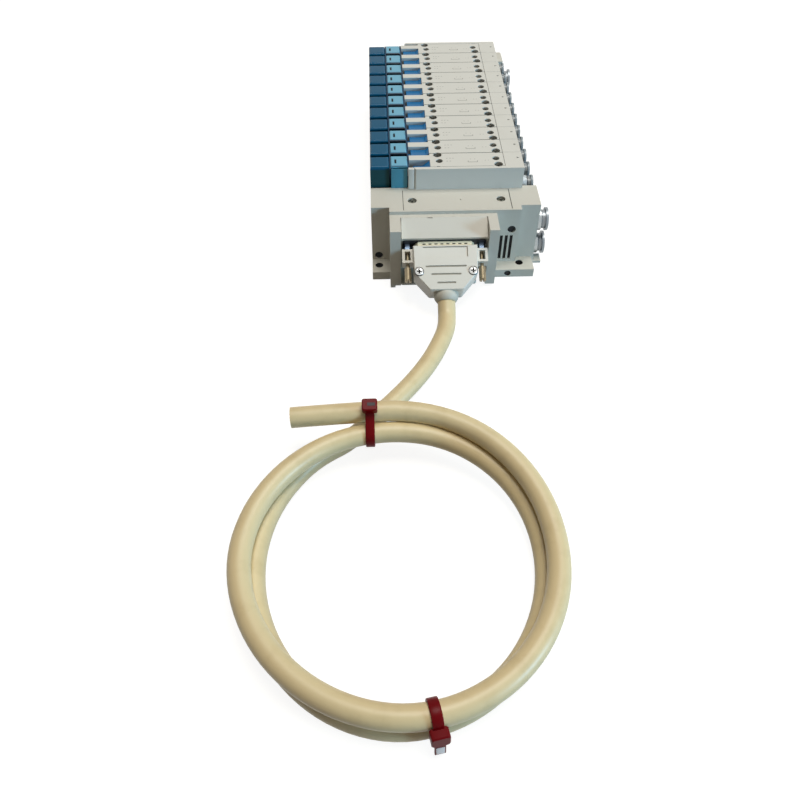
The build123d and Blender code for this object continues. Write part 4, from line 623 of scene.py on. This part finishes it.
class ISLAND_OT_plug(Operator):
    """Finish the socket, the plug, its hood and its jackscrews."""
    bl_idname = "island.plug"
    bl_label = "Plug"

    def execute(self, context):
        tones = context.scene.island_colours
        # ABS, moulded: smooth satin, warm off-white
        hood = make_material("abs_warm_white_moulded", tones.hood, 0.42, smudge=(16, 0.15, linear("#BDB5A0")),
                             grain=(0.8, 0.015))
        paint_nodes(["hood_upper", "hood_lower"], hood)
        # steel, pressed and yellow chromated: pale straw metal
        shell = make_material("chromated_steel_pressed", linear("#D6CFB0"), 0.45)
        paint_nodes(["plug_shell"], shell)
        # steel, nickel plated, hexagonal posts
        post = make_material("nickel_plated_steel", linear("#74859A"), 0.4, metallic=1.0)
        paint_nodes(["jack_posts"], post)
        # brass jackscrews with fluted heads, nickelled and worn to bronze on the ridges
        jack = make_material("nickelled_brass_fluted", linear("#857A64"), 0.5, metallic=1.0)
        paint_nodes(["jackscrew_left", "jackscrew_right"], jack)
        # thermoplastic rubber grommet, moulded: pale grey, matt
        paint_nodes(["cable_grommet"], make_material("rubber_pale_grey", linear("#C3BFB0"), 0.6))
        # the socket's node, black all over: its liquid crystal polymer body is black, its metal flange is
        # painted the same black, and the plug hides its shell
        paint_nodes(["dsub_socket"], make_material("socket_node_all_black", linear("#17191C"), 0.45))
        # the rim over the plug's shell: pressed, the same chromate, with dimples along its upper side
        rim = bar(on_plug((0, 5.43, 2.52)), PLUG_AXES, (34.4, 3.14, 1.54), 0.8, 0.15)
        make_piece("plug_top_rim", [rim], shell)
        # shadow in dimples and grooves, given a surface
        shade = make_material("shadow_in_grooves", linear("#958F80"), 0.8)
        deep = make_material("shadow_in_dimples", linear("#3E3A30"), 0.8)
        dimples = [bar(on_plug((x, 6.2, 2.75)), PLUG_AXES, (2.0, 0.8, 0.1), 0.3, 0.02)
                   for x in (np.arange(DIMPLES) - (DIMPLES - 1) / 2) * DIMPLE_PITCH]
        make_piece("plug_dimple_shadows", dimples, deep)
        grooves = [bar(on_plug((0, 7.62, along)), PLUG_AXES, (length - 0.2, 0.9, 0.1), 0.4, 0.02)
                   for along, length in GROOVES]
        # painted shade along two edges of the hood's recessed panel: the one across it, and the right one
        for x, along, size in ((0, 5.5, (27.8, 0.35)), (13.8, 8.7, (0.35, 6.2))):
            grooves.append(bar(on_plug((x, 7.6, along)), PLUG_AXES, (*size, 0.1), 0.1, 0.02))
        make_piece("hood_groove_shadows", grooves, shade)
        return {"FINISHED"}


def cable_line(radius):
    """Control points of the cable, in millimetres: the lead as it leaves the plug and lands, then two turns
    of an ellipse whose half axes and height change along the way, then the free end. At a share k of a turn,
    x and y are the centre plus A(k) cos and B(k) sin of 90 degrees plus k whole turns."""
    out = PLUG_ORIGIN + PLUG_OUT * (HOOD_END - CORD_GRIP)
    landing = PLUG_ORIGIN + PLUG_OUT * ((PLUG_ORIGIN[2] - radius) / math.sin(TILT))
    lead = [out, landing - 7.5 * PLUG_OUT, landing, landing + [-0.8, -8.0, 0],
            (-15.5, -171.5, radius), (-24.3, -191.5, radius), (-37.5, -211.5, radius),
            (-56.0, -233.2, radius)]
    k = np.concatenate(([0.06, 0.092], np.arange(0.125, 2.001, 1 / 24)))
    # a smooth curve passes inside its control points by the cosine of half a step
    swell = 1 / math.cos(math.pi / 24)
    a = np.interp(k, (0.06, 0.5, 1.0, 1.25, 1.5, 1.75, 2.0), (69, 69, 70, 74.4, 74, 73.5, 74)) * swell
    b = np.interp(k, (0.06, 0.5, 1.0, 1.5, 2.0), (77, 77, 69.3, 77, 77.5)) * swell
    z = np.interp(k, (0.06, 0.75, 0.95, 1.0, 1.08, 1.25, 1.5, 1.75, 1.9, 2.0),
                  (radius, radius, 15.5, 16.9, 16.9, 15.6, 16.8, 16.3, 22.5, 24.1))
    turn = math.pi / 2 + 2 * math.pi * k
    loop = np.column_stack((COIL[0] + a * np.cos(turn), COIL[1] + b * np.sin(turn), z))
    end = [FREE_END, (-75.0, -245.7, 23.3), (-90.0, -246.4, 22.9), (-101.5, -247.0, 22.6)]
    return np.concatenate((lead, loop, end))


class ISLAND_OT_cable(Operator):
    """Lay the cable: out of the plug, two turns on the ground, and a free cut end."""
    bl_idname = "island.cable"
    bl_label = "Cable"

    def execute(self, context):
        sizes, tones = context.scene.island_sizes, context.scene.island_colours
        # PVC jacket, extruded: cream, satin, handled, with faint grey-brown scuffs
        jacket = make_material("pvc_cream_extruded", tones.jacket, 0.42, smudge=(9, 0.3, linear("#B39C6A")),
                               grain=(3.0, 0.06))
        points = cable_line(sizes.cable / 2 / MM) * MM
        curve = bpy.data.curves.new("cable", "CURVE")
        curve.dimensions = "3D"
        line = curve.splines.new("NURBS")
        line.points.add(len(points) - 1)
        line.points.foreach_set("co", np.column_stack((points, np.ones(len(points)))).ravel())
        line.order_u = 3
        line.use_endpoint_u = True
        line.resolution_u = 4
        curve.bevel_depth = sizes.cable / 2
        curve.bevel_resolution = 7
        curve.use_fill_caps = True
        curve.materials.append(jacket)
        cable = bpy.data.objects.new("cable", curve)
        bpy.context.scene.collection.objects.link(cable)
        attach(cable, "island")
        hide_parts("cord_lead", "cord_coil", "cord_tail")
        # copper strands in coloured cores, cut flush with the jacket
        core = make_material("copper_strands_cut", linear("#B87A4A"), 0.4, metallic=0.8)
        filler = make_material("pvc_filler_grey", linear("#8C8674"), 0.7)
        end, before = points[-1] / MM, points[-2] / MM
        out = (end - before) / np.linalg.norm(end - before)
        side = np.cross(out, UP)
        side /= np.linalg.norm(side)
        up = np.cross(side, out)
        circle = np.outer(np.cos(AROUND), side) + np.outer(np.sin(AROUND), up)
        disc = [end + circle * r + out * d for r, d in ((4.3, -0.3), (4.3, 0.05), (4.2, 0.1))]
        face = make_piece("cable_end_filler", [loft(disc)], filler)
        # 25 cores in three rings
        places = np.concatenate([[(r * math.cos(t), r * math.sin(t)) for t in np.arange(n) * 2 * math.pi / n]
                                 for r, n in ((3.5, 14), (2.2, 8), (0.8, 3))])
        small = circle[::4] * 0.52
        ends = [[end + x * side + y * up + small + out * d for d in (-0.2, 0.25)] for x, y in places]
        cores = make_piece("cable_end_cores", [loft(ends)], core)
        context.scene["cable_pieces"] = [face.name, cores.name]
        return {"FINISHED"}


def hull(centres, radius, steps=96):
    """Points and outward directions round several equal circles, as a belt drawn tight lies: at each angle
    the point of the circle that reaches furthest that way."""
    turn = np.linspace(0, 2 * math.pi, steps, endpoint=False)
    out = np.column_stack((np.cos(turn), np.sin(turn)))
    furthest = np.argmax(out @ np.asarray(centres).T, axis=1)
    return np.asarray(centres)[furthest] + out * radius, out


def tie_belt(place, along, across, centres, radius, width, thickness):
    """A cable tie's band: a flat profile with round edges, carried round the tight belt of the cable's
    circles. It stays on the ground where the turns press it flat."""
    inner, out = hull(centres, radius)
    profile = rounded_outline(width, thickness, thickness * 0.35, 3)
    offset = profile[:, 1] + thickness / 2
    flat = inner[:, None] + out[:, None] * offset[None, :, None]
    rings = np.asarray(place) + flat[..., :1] * across + flat[..., 1:] * UP + profile[None, :, :1] * along
    rings[..., 2] = np.maximum(rings[..., 2], 0.05 + 0.25 * (offset / thickness < 0.5))
    return belt(rings)


class ISLAND_OT_ties(Operator):
    """Strap the turns with two cable ties, each with its head."""
    bl_idname = "island.ties"
    bl_label = "Cable Ties"

    def execute(self, context):
        sizes, tones = context.scene.island_sizes, context.scene.island_colours
        radius, width, thick = sizes.cable / 2 / MM, sizes.tie_width / MM, sizes.tie_thickness / MM
        # polyamide 6.6, moulded: deep red, glossy, slightly translucent at its edges
        nylon = make_material("nylon_deep_red", tones.tie, 0.35, ior=1.2)
        # a near-white strip on the outer face of the band's end beyond the lower tie's head
        cut = make_material("nylon_near_white_strip", linear("#FFEFE6"), 0.5)
        # shadow inside the head's slot
        slot = make_material("nylon_slot_dark", linear("#16040A"), 0.6)
        # upper tie: round the lead, the first turn and the free end
        across, along = np.array([0, 1.0, 0]), np.array([1.0, 0, 0])
        centres = (FREE_END[1:], (-254.7, 16.9), (-234.6, radius), (-240.6, radius))
        band = tie_belt((FREE_END[0], 0, 0), along, across, centres, radius + 0.1, width, thick)
        lean = math.radians(109)
        out = across * math.cos(lean) + UP * math.sin(lean)
        round_ = -across * math.sin(lean) + UP * math.cos(lean)
        centre = FREE_END + out * (radius + TIE_HEAD_LIFT)
        head = bar(centre, (along, round_, out), TIE_HEAD, 1.1, 0.5)
        upper = make_piece("tie_upper_band", [band, head], nylon, crease=30)
        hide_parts("tie_upper")
        mouth = bar(centre + out * 2.35 + along * 0.8, (along, round_, out), (4.0, 1.8, 0.5), 0.3, 0.05)
        upper_slot = make_piece("tie_upper_slot", [mouth], slot)
        # lower tie: round the stacked pair, with the band's cut end beyond the head
        # the turns there are arcs of an ellipse: their tangent comes from its equation
        half_x, half_y, middle_x, dx = 69.0, 77.0, 71.5, 11.7
        slope = half_y * dx / (half_x ** 2 * math.sqrt(1 - (dx / half_x) ** 2))
        along = np.array([1.0, slope, 0]) / math.hypot(1, slope)
        across = np.array([along[1], -along[0], 0])
        place = np.array([COIL[0] + dx, COIL[1] - half_y * math.sqrt(1 - (dx / middle_x) ** 2), 0])
        band = tie_belt(place, along, across, ((0, radius), (0.1, 16.75)), radius + 0.1, width, thick)
        lean = math.radians(8)
        out = across * math.cos(lean) + UP * math.sin(lean)
        round_ = -across * math.sin(lean) + UP * math.cos(lean)
        centre = place + 14.5 * UP + out * (radius + TIE_HEAD_LIFT)
        head = bar(centre, (along, round_, out), TIE_HEAD, 1.1, 0.5)
        stub_centre = centre - round_ * 7.4 + out * 0.6
        stub = bar(stub_centre, (along, out, round_), (width, thick, 10.4), 0.3, 0.1)
        lower = make_piece("tie_lower_band", [band, head, stub], nylon, crease=30)
        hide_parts("tie_lower")
        tip = bar(stub_centre - round_ * 2.1 + out * 0.62, (along, out, round_), (width - 1.2, 0.12, 5.2),
                  0.05, 0.02)
        lower_cut = make_piece("tie_lower_end_white_strip", [tip], cut)
        return {"FINISHED"}


def seen_as_white(tree, *more):
    """1 for rays from the camera and to reflections, and for the named other kinds, and otherwise 0."""
    path = add_node(tree, "ShaderNodeLightPath")
    seen = path.outputs["Is Camera Ray"]
    for kind in ("Is Glossy Ray", *more):
        either = add_node(tree, "ShaderNodeMath", {"operation": "MAXIMUM"}, {0: seen, 1: path.outputs[kind]})
        seen = either.outputs[0]
    return seen


class ISLAND_OT_stage(Operator):
    """Set the floor, the lights, the world and the camera."""
    bl_idname = "island.stage"
    bl_label = "Stage"

    def execute(self, context):
        scene = context.scene
        floor = bpy.data.meshes.new("floor")
        # metres: a hair under the cable and the base
        reach, under = 4, -0.0002
        corners = [(x * reach, y * reach, under) for x, y in ((-1, -1), (1, -1), (1, 1), (-1, 1))]
        floor.from_pydata(corners, [], [(0, 1, 2, 3)])
        # studio paper: mid grey for the light that it gives back, white for the camera and for reflections
        paper = bpy.data.materials.new("studio_paper")
        paper.use_nodes = True
        tree = paper.node_tree
        shader = tree.nodes["Principled BSDF"]
        shader.inputs["Base Color"].default_value = (0.26, 0.25, 0.22, 1)
        shader.inputs["Roughness"].default_value = 1.0
        shader.inputs["Specular IOR Level"].default_value = 0.0
        lift = add_node(tree, "ShaderNodeMath", {"operation": "MULTIPLY", 1: 0.9}, {0: seen_as_white(tree)})
        glow = add_node(tree, "ShaderNodeEmission", {"Color": (1, 1, 1, 1)}, {"Strength": lift.outputs[0]})
        both = add_node(tree, "ShaderNodeAddShader", links={0: shader.outputs[0], 1: glow.outputs[0]})
        tree.links.new(both.outputs[0], tree.nodes["Material Output"].inputs[0])
        floor.materials.append(paper)
        ground = bpy.data.objects.new("floor", floor)
        scene.collection.objects.link(ground)

        world = bpy.data.worlds.new("studio")
        scene.world = world
        world.use_nodes = True
        tree = world.node_tree
        # dim warm grey as light, white where it is seen
        shades = {"data_type": "RGBA", 6: (0.09, 0.085, 0.08, 1), 7: (1, 1, 1, 1)}
        sky = add_node(tree, "ShaderNodeMix", shades, {0: seen_as_white(tree, "Is Transmission Ray")})
        tree.links.new(sky.outputs[2], tree.nodes["Background"].inputs["Color"])

        # a broad warm lamp overhead, a low cool one at the ports' side, and a small one that gives the glints
        for name, place, target, size, power, tint in (
            ("lamp_over", (0.25, 0.0, 2.2), (-0.02, -0.15, 0), 1.3, 34.5, (1.0, 0.975, 0.93)),
            ("lamp_right", (2.1, -1.25, 0.42), (0, -0.1, 0.03), 0.6, 44.0, (0.42, 0.72, 1.0)),
            ("lamp_spark", (0.75, 0.25, 1.4), (-0.05, -0.02, 0.05), 0.14, 2.2, (1.0, 1.0, 1.0)),
        ):
            data = bpy.data.lights.new(name, "AREA")
            data.shape = "DISK"
            data.size = size
            data.energy = power
            data.color = tint
            lamp = bpy.data.objects.new(name, data)
            scene.collection.objects.link(lamp)
            aim = np.array(target) - np.array(place)
            lamp.location = place
            lamp.rotation_euler = (math.acos(-aim[2] / np.linalg.norm(aim)), 0, math.atan2(-aim[0], aim[1]))

        data = bpy.data.cameras.new("camera")
        data.lens = 34.2
        data.sensor_width = 36.0
        data.clip_start = 0.01
        camera = bpy.data.objects.new("camera", data)
        camera.location = (-0.0523, -0.5038, 0.32865)
        camera.rotation_euler = (math.radians(90 - 48.85), 0, math.radians(-1.79))
        scene.collection.objects.link(camera)
        scene.camera = camera
        scene.view_settings.view_transform = "Standard"
        return {"FINISHED"}


STEPS = (
    ISLAND_OT_housings,
    ISLAND_OT_pilots,
    ISLAND_OT_fittings,
    ISLAND_OT_screws,
    ISLAND_OT_symbols,
    ISLAND_OT_plug,
    ISLAND_OT_cable,
    ISLAND_OT_ties,
    ISLAND_OT_stage,
)


class ISLAND_PT_panel(Panel):
    """Steps and settings of the valve island."""
    bl_idname = "ISLAND_PT_panel"
    bl_label = "Valve Island"
    bl_space_type = "VIEW_3D"
    bl_region_type = "UI"
    bl_category = "Valve Island"

    def draw(self, context):
        for settings in (context.scene.island_sizes, context.scene.island_colours):
            for name in settings.__annotations__:
                self.layout.prop(settings, name)
        for step in STEPS:
            self.layout.operator(step.bl_idname)


CLASSES = (IslandSizes, IslandColours, *STEPS, ISLAND_PT_panel)


def register():
    for item in CLASSES:
        bpy.utils.register_class(item)
    bpy.types.Scene.island_sizes = PointerProperty(type=IslandSizes)
    bpy.types.Scene.island_colours = PointerProperty(type=IslandColours)


def unregister():
    del bpy.types.Scene.island_colours
    del bpy.types.Scene.island_sizes
    for item in reversed(CLASSES):
        bpy.utils.unregister_class(item)


def main():
    """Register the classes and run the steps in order."""
    register()
    for step in STEPS:
        getattr(bpy.ops.island, step.bl_idname.split(".")[1])()


if __name__ == "__main__":
    main()
